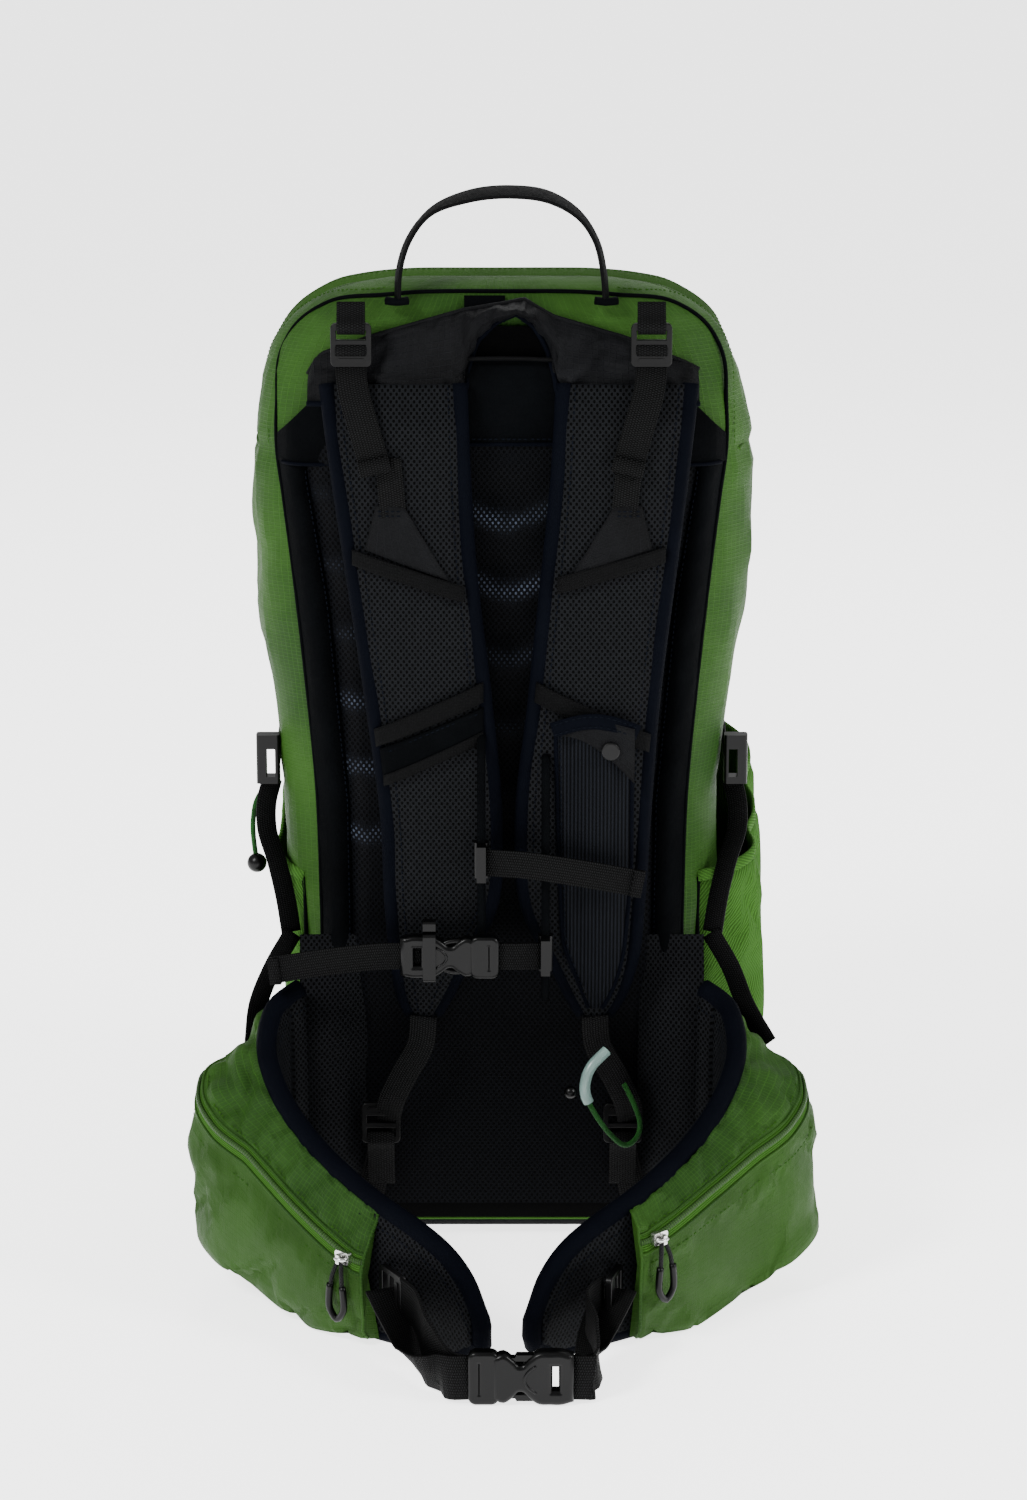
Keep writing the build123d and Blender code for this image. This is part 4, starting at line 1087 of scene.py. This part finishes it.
def straps():
    """Padded straps: mesh faces, bound edges with stitching, bands and patches."""
    for side in (-1, 1):
        name, body = side_word(side), f"strap_{side_word(side)}"
        zs = np.arange(493, 139, -3.0)
        shares = np.linspace(-0.96, 0.96, 25)
        rows = []
        for z in zs:
            front = [strap_point(side, s, z) for s in shares]
            rear = [strap_point(side, s, z, face=False) for s in shares[::-2]]
            rows.append(front + rear)
        rows = np.array(rows)
        front_columns = len(shares)
        rows[:, :front_columns, 1] += rough(rows[:, :front_columns], 40, side) * 0.9
        uv = np.stack([np.concatenate([rows[..., 0], rows[:, :1, 0]], axis=1),
                       np.repeat(zs[:, None], rows.shape[1] + 1, axis=1)], axis=-1)
        pad = grid(f"strap_mesh_{name}", rows, "mesh", body, wrap=True, caps=True, uv=uv)
        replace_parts(pad, f"strap_pad_{name}")
        lines = []
        for edge in (-1, 1):
            path = np.array([strap_point(side, edge * 0.955, z, lift=-2.6) for z in zs])
            sweep(f"strap_binding_{name}_{'in' if edge < 0 else 'out'}", path, round_section(4.6, 0.95, 14),
                  "binding", body, side=(1, 0, 0))
            seam = [strap_point(side, edge * (1 - 7.6 / max(strap_half(side, z), 12)), z, 0.1) for z in zs[::4]]
            lines.append((np.array(seam), (0, -1, 0)))
        stitches(f"strap_stitches_{name}", lines, body)
        strap_trim(side, name, body)


def strap_half(side, z):
    """Half width of a strap at a height."""
    inner, outer = strap_edge(side, z)
    return (outer - inner) / 2


def patch(name, side, corners, lift, material, body, rows=12, cols=12, thick=1.2):
    """Cloth laid on the strap inside four corners (x from the harness's middle, z): two below, two above."""
    (a, b), (c, d) = (np.array(corners[0]), np.array(corners[1])), (np.array(corners[2]), np.array(corners[3]))
    p = np.array([[strap_at(side, *((a + (b - a) * u) * (1 - v) + (d + (c - d) * u) * v), lift)
                   for u in np.linspace(0, 1, cols)] for v in np.linspace(0, 1, rows)])
    made = grid(name, p, material, body)
    wall(made, thick, offset=0)
    return made


def strap_trim(side, name, body):
    """The strip of webbing and patch under the load lifter, the bands, label patch and low end."""
    tape = [strap_at(side, 64.5 - (455 - z) * 0.09, z, 1.6) for z in (455, 446, 436, 424)]
    web = webbing(f"strap_tape_{name}", tape, 14, body)
    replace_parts(web, f"strap_webbing_{name}")
    patch(f"strap_patch_{name}", side, [(32, 389), (77, 406), (71, 430), (56, 429)], 1.6, "yoke", body, thick=1.6)
    lines = [([strap_at(side, x, z, 3.0) for x in (57, 63, 70)], (0, -1, 0)) for z in (427, 424.5)]
    stitches(f"strap_patch_stitches_{name}", lines, body)
    if side < 0:
        top, low = [(24, 377), (84, 397.5), (84, 406), (24, 386)], [(14, 322), (72, 297), (73, 307), (14, 333)]
    else:
        top, low = [(26, 382), (84, 399), (84, 407.5), (26, 391)], [(14, 322), (76, 294), (77, 304), (15, 333)]
    for which, corners, lift in (("upper", top, 2.6), ("lower", low, 2.0)):
        patch(f"{which}_band_{name}", side, corners, lift, "band", body, rows=5, cols=24, thick=1.6)
    if side < 0:
        patch("label_patch", side, [(14, 301), (68, 276), (70, 296), (14, 319)], 1.7, "panel", body, cols=20)
        patch("label_band", side, [(14, 300), (68, 275), (68.3, 281), (14, 306)], 2.6, "band", body, rows=4)
        stitches("label_stitches", [([strap_at(side, x, z, 2.8) for x, z in ((16, 316), (42, 306), (67, 294))],
                                     (0, -1, 0))], body)
    x0 = HARNESS_X + side * 45
    strap_low = [strap_point(side, 0, 142, 0.5), (x0 + side * 4, -127.5, 126), (x0 + side * 14, -126.0, 106),
                 (x0 + side * 21, -124.0, 90), (x0 + side * 23, -119.5, 80), (x0 + side * 23.4, -117.0, 74)]
    low_web = webbing(f"strap_low_web_{name}", strap_low, 15, None, side=(1, 0, 0.45 * side))
    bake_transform(low_web)
    loop = lock_webbing(f"low_loop_{name}", side * 68, -118.5, 66, 15, (0, 0.15, -0.99), "pack", 28)
    if side < 0:
        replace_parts(loop, "low_loops")
    tail = [(side * 68, -115.0, 74), (side * 68.5, -113.5, 62), (side * 71, -114.5, 46), (side * 74, -116.0, 33),
            (side * 75, -115.0, 24)]
    webbing(f"low_tail_{name}", tail, 15, "pack")


def strap_pocket():
    """Ribbed stretch pocket on the right strap, its bound flap and snap."""
    rows = []
    for z in np.arange(147, 312, 3.0):
        inner, outer = strap_edge(1, z)
        a = np.interp(z, [147, 186, 240, 306], [44, 29.5, 27, 25.5])
        b = min(outer - 6.5, 67)
        row = []
        for s in np.linspace(0, 1, 40):
            full = 4.6 * sin(pi * s) ** 0.6 * min((z - 144) / 25, 1)
            row.append(strap_at(1, a + (b - a) * s, z, 1.0 + full + 0.30 * sin(2 * pi * s * 16)))
        rows.append(row)
    rows = np.array(rows)
    rows[..., 1] += np.exp(-((rows[..., 0] - 40 + (rows[..., 2] - 250) * 0.05) / 4) ** 2) * 2.2
    rows[..., 1] += rough(rows * (1.3, 1, 0.4), 14, 21) * 1.0
    uv = np.stack([rows[..., 0], rows[..., 2]], axis=-1)
    cloth = grid("strap_pocket_cloth", rows, "strap_mesh", "strap_right", uv=uv)
    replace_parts(cloth, "strap_pocket")
    for at, name in ((0, "inner"), (-1, "outer")):
        tube(f"strap_pocket_edge_{name}", rows[::3, at] + (0, -0.6, 0), 1.3, "binding", "strap_right")
    line = rows[::3, 2] + (0, -0.9, 0)
    stitches("strap_pocket_stitches", [(line, (0, -1, 0))], "strap_right")
    flap = []
    for v in np.linspace(0, 1, 14):
        flap.append([strap_at(1, 27 + 41 * u, 309 + 4 * sin(pi * u) - (4 + 27 * u**1.3) * v,
                              7.0 - 0.8 * v - 1.6 * (1 - u)) for u in np.linspace(0, 1, 18)])
    flap = np.array(flap)
    flap[..., 1] += rough(flap, 12, 31) * 0.7
    made = grid("flap_cloth", flap, "yoke", "snap_flap")
    wall(made, 1.4)
    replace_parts(made, "snap_flap")
    arc = [strap_at(1, 23.5 + 46.5 * u, 308 + 6 * sin(pi * u) - 1.5 * u, 6.9) for u in np.linspace(0, 1, 9)]
    webbing("flap_binding", arc, 8.5, "strap_right", side=(0, 0, 1), material="binding")
    stitches("flap_stitches", [(np.array(arc) + (0, -1.0, z), (0, -1, 0)) for z in (2.8, -2.8)], "strap_right")
    paint("snap_button", "plastic")


# ---------------------------------------------------------------- sternum strap
def sternum():
    """Rails, clips, webbing and the small side-release buckle with its whistle."""
    for side, x, low, high in ((-1, -11, 188, 303), (1, 24, 154, 292)):
        name = side_word(side)
        points = [(x, RAIL_Y + 8, low), (x, RAIL_Y + 1.5, low + 7), (x, RAIL_Y, low + 20), (x, RAIL_Y, high - 20),
                  (x, RAIL_Y + 1.5, high - 7), (x, RAIL_Y + 8, high)]
        rail = tube(f"rail_{name}", points, 2.3, "panel", f"strap_{name}", slot="webbing")
        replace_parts(rail, f"sternum_rail_{name}")
        paint(f"sternum_clip_{name}", "plastic")
    band = [(-9, RAIL_Y - 7, BAND_Z), (12, RAIL_Y - 8.5, BAND_Z - 1.0), (40, RAIL_Y - 9, BAND_Z - 5.0),
            (76, RAIL_Y - 7.2, BAND_Z - 12)]
    web = webbing("chest_band", band, 15, "sternum_strap", side=(0, 0, 1))
    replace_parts(web, "sternum_webs")
    webbing("chest_band_hem", [(71, RAIL_Y - 8.0, BAND_Z - 11.0), (77, RAIL_Y - 7.6, BAND_Z - 12.2)], 15.2,
            "sternum_strap", side=(0, 0, 1), thick=3.4)
    y = RAIL_Y - 7
    webbing("chest_link", [(-8.5, y, STERNUM_Z), (6, y - 0.8, STERNUM_Z), (22, y, STERNUM_Z)], 15, "sternum_strap",
            side=(0, 0, 1), thick=2.6)
    tail = [(-41, y + 0.5, STERNUM_Z), (-52, y - 0.4, STERNUM_Z), (-64, y + 0.6, STERNUM_Z - 0.5),
            (-84, y + 3, STERNUM_Z - 3), (-108, y + 5, STERNUM_Z - 7), (-127, y + 7, STERNUM_Z - 11)]
    made = webbing("chest_tail", tail, 15, "sternum_buckle", side=(0, 0, 1))
    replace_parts(made, "sternum_tail")
    webbing("chest_tail_hem", [(-122, y + 6, STERNUM_Z - 10.5), (-128, y + 7, STERNUM_Z - 11.2)], 15.2,
            "sternum_buckle", side=(0, 0, 1), thick=3.4)
    mouth = np.array((-16, y, STERNUM_Z))
    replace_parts(buckle_socket("chest_socket", mouth, -1, 24, "sternum_buckle"), "sternum_socket")
    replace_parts(buckle_plug("chest_plug", mouth - (0, 1.2, 0), -1, 24, "sternum_strap"), "sternum_plug")
    paint("whistle", "plastic")


def rounded_plate(name, outline, thick, at, body, bevel=1.1, holes=(), material="plastic"):
    """A moulded plate in the X-Z plane with rounded edges, from a smooth outline and round-cornered holes."""
    data = bpy.data.curves.new(name, "CURVE")
    data.dimensions = "2D"
    data.fill_mode = "BOTH"
    data.extrude = (thick / 2 - bevel) * MM
    data.bevel_depth = bevel * MM
    data.bevel_resolution = 3
    for loop in (outline, *holes):
        spline = data.splines.new("POLY")
        spline.points.add(len(loop) - 1)
        for point, (x, z) in zip(spline.points, loop):
            point.co = (x * MM, z * MM, 0, 1)
        spline.use_cyclic_u = True
    curve = add_object(name, data)
    bpy.context.view_layer.update()
    mesh = bpy.data.meshes.new_from_object(curve)
    bpy.data.objects.remove(curve)
    obj = add_object(name, mesh)
    for vertex in mesh.vertices:
        x, z, y = vertex.co
        vertex.co = (x + at[0] * MM, y + at[1] * MM, z + at[2] * MM)
    mesh.materials.clear()
    mesh.materials.append(MAT[material])
    if body:
        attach(obj, body)
    return obj


def rounded_box_outline(x0, x1, z0, z1, r, count=5):
    points = []
    for cx, cz, start in ((x1 - r, z0 + r, -90), (x1 - r, z1 - r, 0), (x0 + r, z1 - r, 90), (x0 + r, z0 + r, 180)):
        for k in range(count):
            angle = radians(start + 90 * k / (count - 1))
            points.append((cx + r * cos(angle), cz + r * sin(angle)))
    return points


def buckle_socket(name, mouth, way, tall, body):
    """Socket of a side-release buckle with a waisted grip; way is the direction of its body from the mouth."""
    h = tall / 2 - 2.4
    half_line = [(0, h * 0.80), (3, h * 0.92), (6.5, h * 0.72), (10.5, h * 0.42), (14, h * 0.44), (18, h * 0.74),
                 (22, h * 0.98), (27, h), (33, h), (37, h * 0.90)]
    dense = smooth([(x, 0, z) for x, z in half_line], 1.2)
    upper = [(way * x, z) for x, _, z in dense]
    outline = upper + [(x, -z) for x, z in upper[::-1]]
    hole = [(way * x, z) for x, z in rounded_box_outline(26.0, 34.0, -h * 0.74, h * 0.74, 1.6)]
    if way < 0:
        outline, hole = outline[::-1], hole[::-1]
    shell = rounded_plate(name, outline, 9.0, mouth, body, bevel=2.4, holes=(hole,))
    ridge = [(mouth[0] + way * x, mouth[1] - 4.4, mouth[2] + z) for x, z in
             ((20, h * 0.62), (16, h * 0.36), (14, 0), (16, -h * 0.36), (20, -h * 0.62))]
    tube(f"{name}_ridge", ridge, 0.8, "plastic", body, step=1.5)
    return shell


def buckle_plug(name, mouth, way, tall, body):
    """Plug of a side-release buckle: its bar with the webbing's slot, and on the chest buckle its two prong arms."""
    h = tall / 2 - 1.8
    bar = rounded_box_outline(-13, -0.6, -h, h, 2.4)
    gap = rounded_box_outline(-10.6, -7.6, -h * 0.76, h * 0.76, 1.2)

    def flip(loop):
        return [(way * x, z) for x, z in (loop if way > 0 else loop[::-1])]

    plate = rounded_plate(name, flip(bar), 8.0, mouth, body, bevel=1.8, holes=(flip(gap),))
    for end in (-1, 1):
        arm = [(mouth[0] + way * x, mouth[1], mouth[2] + end * z) for x, z in
               ((-1, h * 0.62), (4, h * 0.78), (8.5, h * 0.86), (13, h * 0.80), (18, h * 0.58))]
        if "chest" in name:
            tube(f"{name}_arm_{side_word(end)}", arm, 1.6, "plastic", body, step=1.5)
    return plate


# ---------------------------------------------------------------- pole loop and tool loop
def cord_curve(name, points, diameter, material, body):
    """A cord as one smooth spline."""
    data = bpy.data.curves.new(name, "CURVE")
    data.dimensions = "3D"
    data.bevel_depth = diameter / 2 * MM
    data.bevel_resolution = 5
    data.resolution_u = 8
    data.use_fill_caps = True
    spline = data.splines.new("NURBS")
    spline.points.add(len(points) - 1)
    for point, place in zip(spline.points, points):
        point.co = (*(c * MM for c in place), 1)
    spline.order_u = 3
    spline.use_endpoint_u = True
    data.materials.append(material)
    obj = add_object(name, data)
    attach(obj, body)
    return obj


TOOL_CORD = [(-132, -74, 261.2), (-138, -74.5, 253), (-140, -75, 243), (-140.5, -75, 232), (-139, -76, 221)]
POLE_CORD = [(68, -131, 103), (75, -138, 92), (78, -143, 79), (69, -146, 70), (59, -147, 80), (51, -148, 92),
             (45, -149, 105), (48, -147, 118), (58, -141, 126)]


def cords():
    """The tool loop at the left side and the pole loop on the right strap."""
    tool = cord_curve("tool_loop_cord", TOOL_CORD, 3.0, MAT["cord_green"], "pack")
    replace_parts(tool, "tool_cord")
    pole = cord_curve("pole_loop_cord", POLE_CORD, 3.0, MAT["cord_green"], "strap_right")
    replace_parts(pole, "pole_cord")
    paint("tool_knob", "plastic")
    paint("pole_knob", "plastic")
    paint("pole_loop_tube", "tube")


# ---------------------------------------------------------------- hip belt
def wing_line(side, count=70):
    """The middle line of a wing seen from above, the share of its length, and its outward directions."""
    path = smooth([(x, y, 0) for x, y in WING_PATH[side]], count=count)
    run = run_along(path)
    tangent = unit(np.gradient(path, axis=0))
    outward = np.stack([-tangent[:, 1], tangent[:, 0], np.zeros(count)], axis=1)
    outward = np.where(outward[:, :1] < outward[:, 1:2], -outward, outward)
    return path, run / run[-1], outward, run[-1]


def wing_top(share):
    """Height of a wing's upper edge."""
    return np.interp(share, [0, 0.08, 0.16, 0.27, 0.5, 0.68, 0.80, 0.90, 0.97, 1.0],
                     [158, 152, 140, 124, 96, 79, 69, 59, 45, 31])


def wing_low(share):
    """Height of a wing's lower edge."""
    return np.interp(share, [0, 0.12, 0.3, 0.87, 0.95, 1.0], [38, 18, 1.5, 1.0, 4, 13])


def belt():
    """Padded wings with bound edges; zipped pockets outside."""
    for side in (-1, 1):
        path, share, outward, length = wing_line(side)
        name, body = side_word(side), f"wing_{side_word(side)}"
        flip = np.array((side, 1, 1))
        rows, ring_count = [], 26
        for k in range(len(path)):
            high, low = wing_top(share[k]), wing_low(share[k])
            row = []
            for a in np.linspace(0, 2 * pi, ring_count, endpoint=False):
                s, c = sin(a), cos(a)
                z = (high + low) / 2 + (high - low) / 2 * np.sign(s) * abs(s) ** 0.35 * 0.985
                swell = np.sign(c) * abs(c) ** 0.5 * 6.2
                row.append((path[k] + outward[k] * swell + (0, 0, z)) * flip)
            rows.append(row)
        rows = np.array(rows)
        rows[..., 2] = np.maximum(rows[..., 2], 0.6)
        uv_u = np.repeat((share * length)[:, None], rows.shape[1] + 1, axis=1)
        uv_v = np.concatenate([rows[..., 2], rows[:, :1, 2]], axis=1)
        pad = grid(f"wing_mesh_{name}", rows, "mesh", body, wrap=True, caps=True, uv=np.stack([uv_u, uv_v], axis=-1))
        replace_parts(pad, f"belt_wing_{name}")
        upper = np.array([(path[k] + (0, 0, wing_top(share[k]) - 1.5)) * flip for k in range(len(path))])
        end = unit(path[-1] - path[-3])
        nose = [(path[-1] + end * 2.0 + (0, 0, z)) * flip for z in (26, 20, 14)]
        lower = np.array([(path[k] + (0, 0, max(wing_low(share[k]) + 2, 4.4))) * flip for k in
                          range(len(path) - 1, -1, -1)])
        rim = np.concatenate([upper[::3], nose, lower[::3]])
        sweep(f"wing_binding_{name}", smooth(rim, 4), round_section(5.6, 0.98, 14), "binding", body,
              side=(0.6 * side, -0.8, 0.05))
        lines = []
        for way in (1, -1):
            line = np.array([(path[k] + outward[k] * (6.6 * way) + (0, 0, wing_top(share[k]) - 10)) * flip
                             for k in range(0, len(path), 3)])
            lines.append((line, np.array([outward[k] * flip for k in range(0, len(path), 3)]) * way))
        stitches(f"wing_stitches_{name}", lines, body)
        belt_pocket(side, name, body, path, share, outward)


# the belt pocket's outer edge seen from above, on the right
POCKET_PLAN = [(134, -131), (152, -137), (165, -149), (166.5, -162), (158, -181), (135, -203), (112, -225),
               (88, -246), (73, -257)]


def belt_pocket(side, name, body, path, share, outward):
    """Zipped pocket: a wrinkled top panel, a zip on bright tape round its edge and a plain outer panel."""
    flip = np.array((side, 1, 1))
    count = 64
    zip_in, zip_out, toe_at, keel_at = 20, 25, 41, 48  # columns where the zip's tape, the outer and under panels end
    t = np.linspace(0, 1, count)
    plan = smooth([(x, y, 0) for x, y in POCKET_PLAN], count=count)
    tangent = unit(np.gradient(plan, axis=0))
    out = np.stack([-tangent[:, 1], tangent[:, 0], 0 * t], axis=1)
    along = 0.05 + 0.66 * t**1.03
    inner = np.stack([np.interp(along, share, path[:, k] + outward[:, k] * 5.0) for k in range(3)], axis=1)
    rim = np.interp(plan[:, 1], [-254, -225, -200, -163, -149, -131],
                    [(61 if side > 0 else 50), (78 if side > 0 else 71), 91, 109, 117, 121])
    foot = np.interp(t, [0, 0.10, 0.25, 0.50, 0.80, 1], [60, 42, 30, 12, 2, 6])
    flare = (9.0 if side > 0 else 1.0) * np.exp(-(((t - 0.28) / 0.2) ** 2))
    up = np.array((0, 0, 1.0))

    def raised(base, z):
        return base + z[:, None] * up

    def arch(s):
        return np.sin(pi * s) ** 0.8

    def strip(a, b, columns, rise):
        """Rows of points from line a towards line b, raised in the middle."""
        s = np.linspace(0, 1, columns, endpoint=False)[None, :, None]
        line = a[:, None] * (1 - s) + b[:, None] * s
        return line + (rise * middle)[:, None] * arch(s)

    edge, top = raised(plan, rim), raised(inner, wing_top(along) - 2.5)
    toe = raised(plan + out * flare[:, None], foot)
    keel = raised(inner, np.maximum(foot - 4, 2.0))
    inward = unit(top - edge)
    band_in = edge + inward * 3.0 - up * 0.3
    band_out = edge + out * 1.4 - up * 8.0
    middle = np.sin(pi * t)[:, None] ** 0.5
    panel = np.concatenate([
        strip(top, band_in, zip_in, up * 1.5), strip(band_in, band_out, zip_out - zip_in, out * 0.8),
        strip(band_out, toe, toe_at - zip_out, out * 3.2), strip(toe, keel, keel_at - toe_at, -up * 0.5),
        keel[:, None]], axis=1)
    place = np.arange(panel.shape[1])
    facing = unit(np.cross(np.gradient(panel, axis=0), np.gradient(panel, axis=1)))
    facing *= np.where(np.sum(facing * (panel - panel.mean(axis=(0, 1))), axis=-1, keepdims=True) < 0, -1, 1)
    upper = np.clip(place / 3, 0, 1) * np.clip((zip_in - place) / 4, 0, 1)
    outer = np.clip((place - zip_out + 1) / 5, 0, 1) * np.clip((toe_at - place) / 4, 0, 1)
    creases = rough(panel * (1.3, 0.7, 0.8), 12, 2 + side) * 3.6 + rough(panel * (1, 1, 0.5), 26, 4 + side) * 2.6
    dents = rough(panel * (0.7, 0.7, 1.1), 30, 6 + side) * 2.2 + rough(panel, 12, 9 + side) * 0.45
    panel = panel + facing * (creases * upper + dents * outer)[..., None]
    panel[..., 2] = np.maximum(panel[..., 2], 0.8)
    panel, normal = panel * flip, facing * flip
    columns = len(place)
    marks = np.where(place[:-1] < zip_in, 0, np.where(place[:-1] < zip_out, 1, 2))
    cloth = grid(f"belt_pocket_cloth_{name}", panel, ["ripstop", "tape_green", "plain"], body,
                 marks=np.tile(marks, count - 1))
    puff(cloth, edge_of(count, columns, range(zip_in - 1, zip_out + 2)), cap=3.0, grow=0.05)
    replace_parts(cloth, f"belt_pocket_{name}")
    for index, which in ((0, "rear"), (-1, "front")):
        loop = panel[index]
        cap = np.array([loop * (1 - s) + loop.mean(axis=0) * s for s in (0, 0.35, 0.7, 1.0)])
        grid(f"belt_pocket_{which}_{name}", cap, "plain", body)
        tube(f"belt_pocket_{which}_seam_{name}", loop[1:-4:3], 1.0, "ripstop", body)
    crest = zip_in + 2
    sweep(f"belt_coil_{name}", smooth(panel[:, crest] + normal[:, crest] * 0.5, 3), round_section(1.7, 0.7, 8),
          "coil_green", body, side=(0, 0, 1))
    rows = [(panel[::2, k] + normal[::2, k] * 0.25, normal[::2, k]) for k in (zip_in - 2, zip_out + 2)]
    stitches(f"belt_pocket_stitches_{name}", rows, body, color="thread_green")
    for at, label in ((zip_in, "inner"), (zip_out, "outer")):
        tube(f"belt_pocket_seam_{label}_{name}", panel[:, at] + normal[:, at] * 0.2, 0.8, "ripstop", body)
    belt_slider(side, name, out[-8])


def belt_slider(side, name, outward):
    """Cord and moulded loop on the zip slider."""
    paint(f"belt_slider_{name}", "metal")
    low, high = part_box(f"belt_slider_{name}")
    c = np.array([(a + b) / 2 for a, b in zip(low, high)]) / MM
    o = np.array(outward) * (side, 1, 1)
    t = unit(np.cross(o, (0, 0, 1)))
    start = c + o * 3.5
    for way, label in ((-1, "a"), (1, "b")):
        a = start + (0, 0, -2) + t * 1.2 * way
        strand = [a, a + o * 2 + t * 2 * way + (0, 0, -7), a + o * 2.6 + t * 3.0 * way + (0, 0, -15)]
        tube(f"pull_cord_{name}_{label}", strand, 1.2, "cord_black", f"belt_pull_{name}", step=2)
    g = start + o * 2.6
    ring_points = [g - t * 4.2 + (0, 0, -14), g - t * 5.0 + (0, 0, -20), g - t * 4.6 + (0, 0, -28),
                   g + (0, 0, -33), g + t * 4.6 + (0, 0, -28), g + t * 5.0 + (0, 0, -20), g + t * 4.2 + (0, 0, -14)]
    made = tube(f"pull_loop_{name}", ring_points, 1.9, "plastic", f"belt_pull_{name}", step=2)
    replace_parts(made, f"belt_pull_{name}")
    bail = [c + o * 1.5 - t * 4, c + o * 4.4 - t * 1.5, c + o * 4.4 + t * 1.5, c + o * 1.5 + t * 4]
    tube(f"slider_bail_{name}", bail, 1.1, "metal", f"belt_slider_{name}", step=1.5)


def belt_straps():
    """Belt webbing with its hanging loops, and the side-release buckle."""
    for side in (-1, 1):
        name, body = side_word(side), f"belt_strap_{side_word(side)}"
        px, py, pz = side * PIVOT[0], PIVOT[1], PIVOT[2]
        end = -14.5 if side < 0 else 35.5
        middle = (px + end) / 2
        strand = [(px - side * 9, py - 16, pz + 2), (px - side * 17, py - 30, pz + 1), (middle, py - 50, pz - 7),
                  (end + side * 12, BUCKLE[1] + 5, BUCKLE[2] + 1), (end, BUCKLE[1], BUCKLE[2])]
        web = webbing(f"belt_webbing_{name}", strand, 22, body, side=(0, 0, 1), thick=1.6)
        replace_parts(web, f"belt_web_{name}")
        loop = [(px - side * 2, py - 9, pz + 3), (px - side * 6, py - 18, pz - 3), (px - side * 12, py - 32, pz - 12),
                (px - side * 16, py - 46, 16), (px - side * 20, py - 56, 13.5), (px - side * 30, py - 61, 13.2),
                (middle - side * 8, py - 64, 13.4), (end + side * 12, BUCKLE[1] + 1, 13.8),
                (end + side * 1, BUCKLE[1] - 1.2, BUCKLE[2])]
        sides = [(0.9 * side, 0.1, 0.3), (0.95 * side, -0.1, 0.3), (0.9 * side, -0.3, 0.4), (0.7 * side, -0.5, 0.6),
                 (0.35 * side, -0.45, 0.9), (0.1 * side, -0.3, 1), (0, -0.1, 1), (0, 0, 1), (0, 0, 1)]
        webbing(f"belt_tail_{name}", loop, 24, body, side=sides, thick=1.6)
        paint(f"belt_lock_{name}", "plastic")
    socket = buckle_socket("belt_buckle_socket", np.array(BUCKLE), 1, 29, "belt_strap_right")
    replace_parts(socket, "belt_socket")
    plug = buckle_plug("belt_buckle_plug", np.array(BUCKLE), 1, 29, "belt_strap_left")
    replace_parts(plug, "belt_plug")
    for node in ("belt_prong_upper", "belt_prong_lower"):
        paint(node, "plastic")


# ---------------------------------------------------------------- side webbing and inner parts
def side_webbing():
    """Compression webbing on both sides with the buckles that stand behind the back's edge."""
    made = []
    for side in (-1, 1):
        name = side_word(side)
        points = []
        for y in np.linspace(-66, 92, 14):
            z = 276 + (y + 62) * 17 / 150
            points.append((side * (side_x(y, z, 1) + 2.2), y, z))
        made.append(webbing(f"side_web_{name}", points, 15, "pack", side=(0, 0, 1)))
        tail = [(side * 129, -72, 264), (side * 132, -78, 252), (side * 132, -82, 238), (side * 126, -90, 220),
                (side * 121, -96, 200), (side * 118, -100, 182)]
        webbing(f"side_web_tail_{name}", tail, 12, "pack", side=(side * 0.9, -0.5, 0.2))
        start, end = (side * 117, -101, 182), (side * (148 if side > 0 else 138), -129, 126)
        middle = [(side * 128, -109, 164), (side * 136, -118, 145)]
        web = webbing(f"stabiliser_{name}", [start, *middle, end], 12, None, side=(side * 0.8, -0.55, 0.3))
        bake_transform(web)
    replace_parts(made[0], "side_straps")
    paint("side_buckles", "plastic")
    paint("frame_sheet", "plastic_matt")
    paint("frame_rod", "rod")
    paint("hydration_sleeve", "lining")
    for side in ("left", "right"):
        paint(f"main_slider_{side}", "plastic")


camera()
studio()
cords()
bag()
back_edges()
side_pockets()
front_pocket()
back_panel()
yoke()
handle()
top_locks()
straps()
strap_pocket()
sternum()
belt()
belt_straps()
side_webbing()
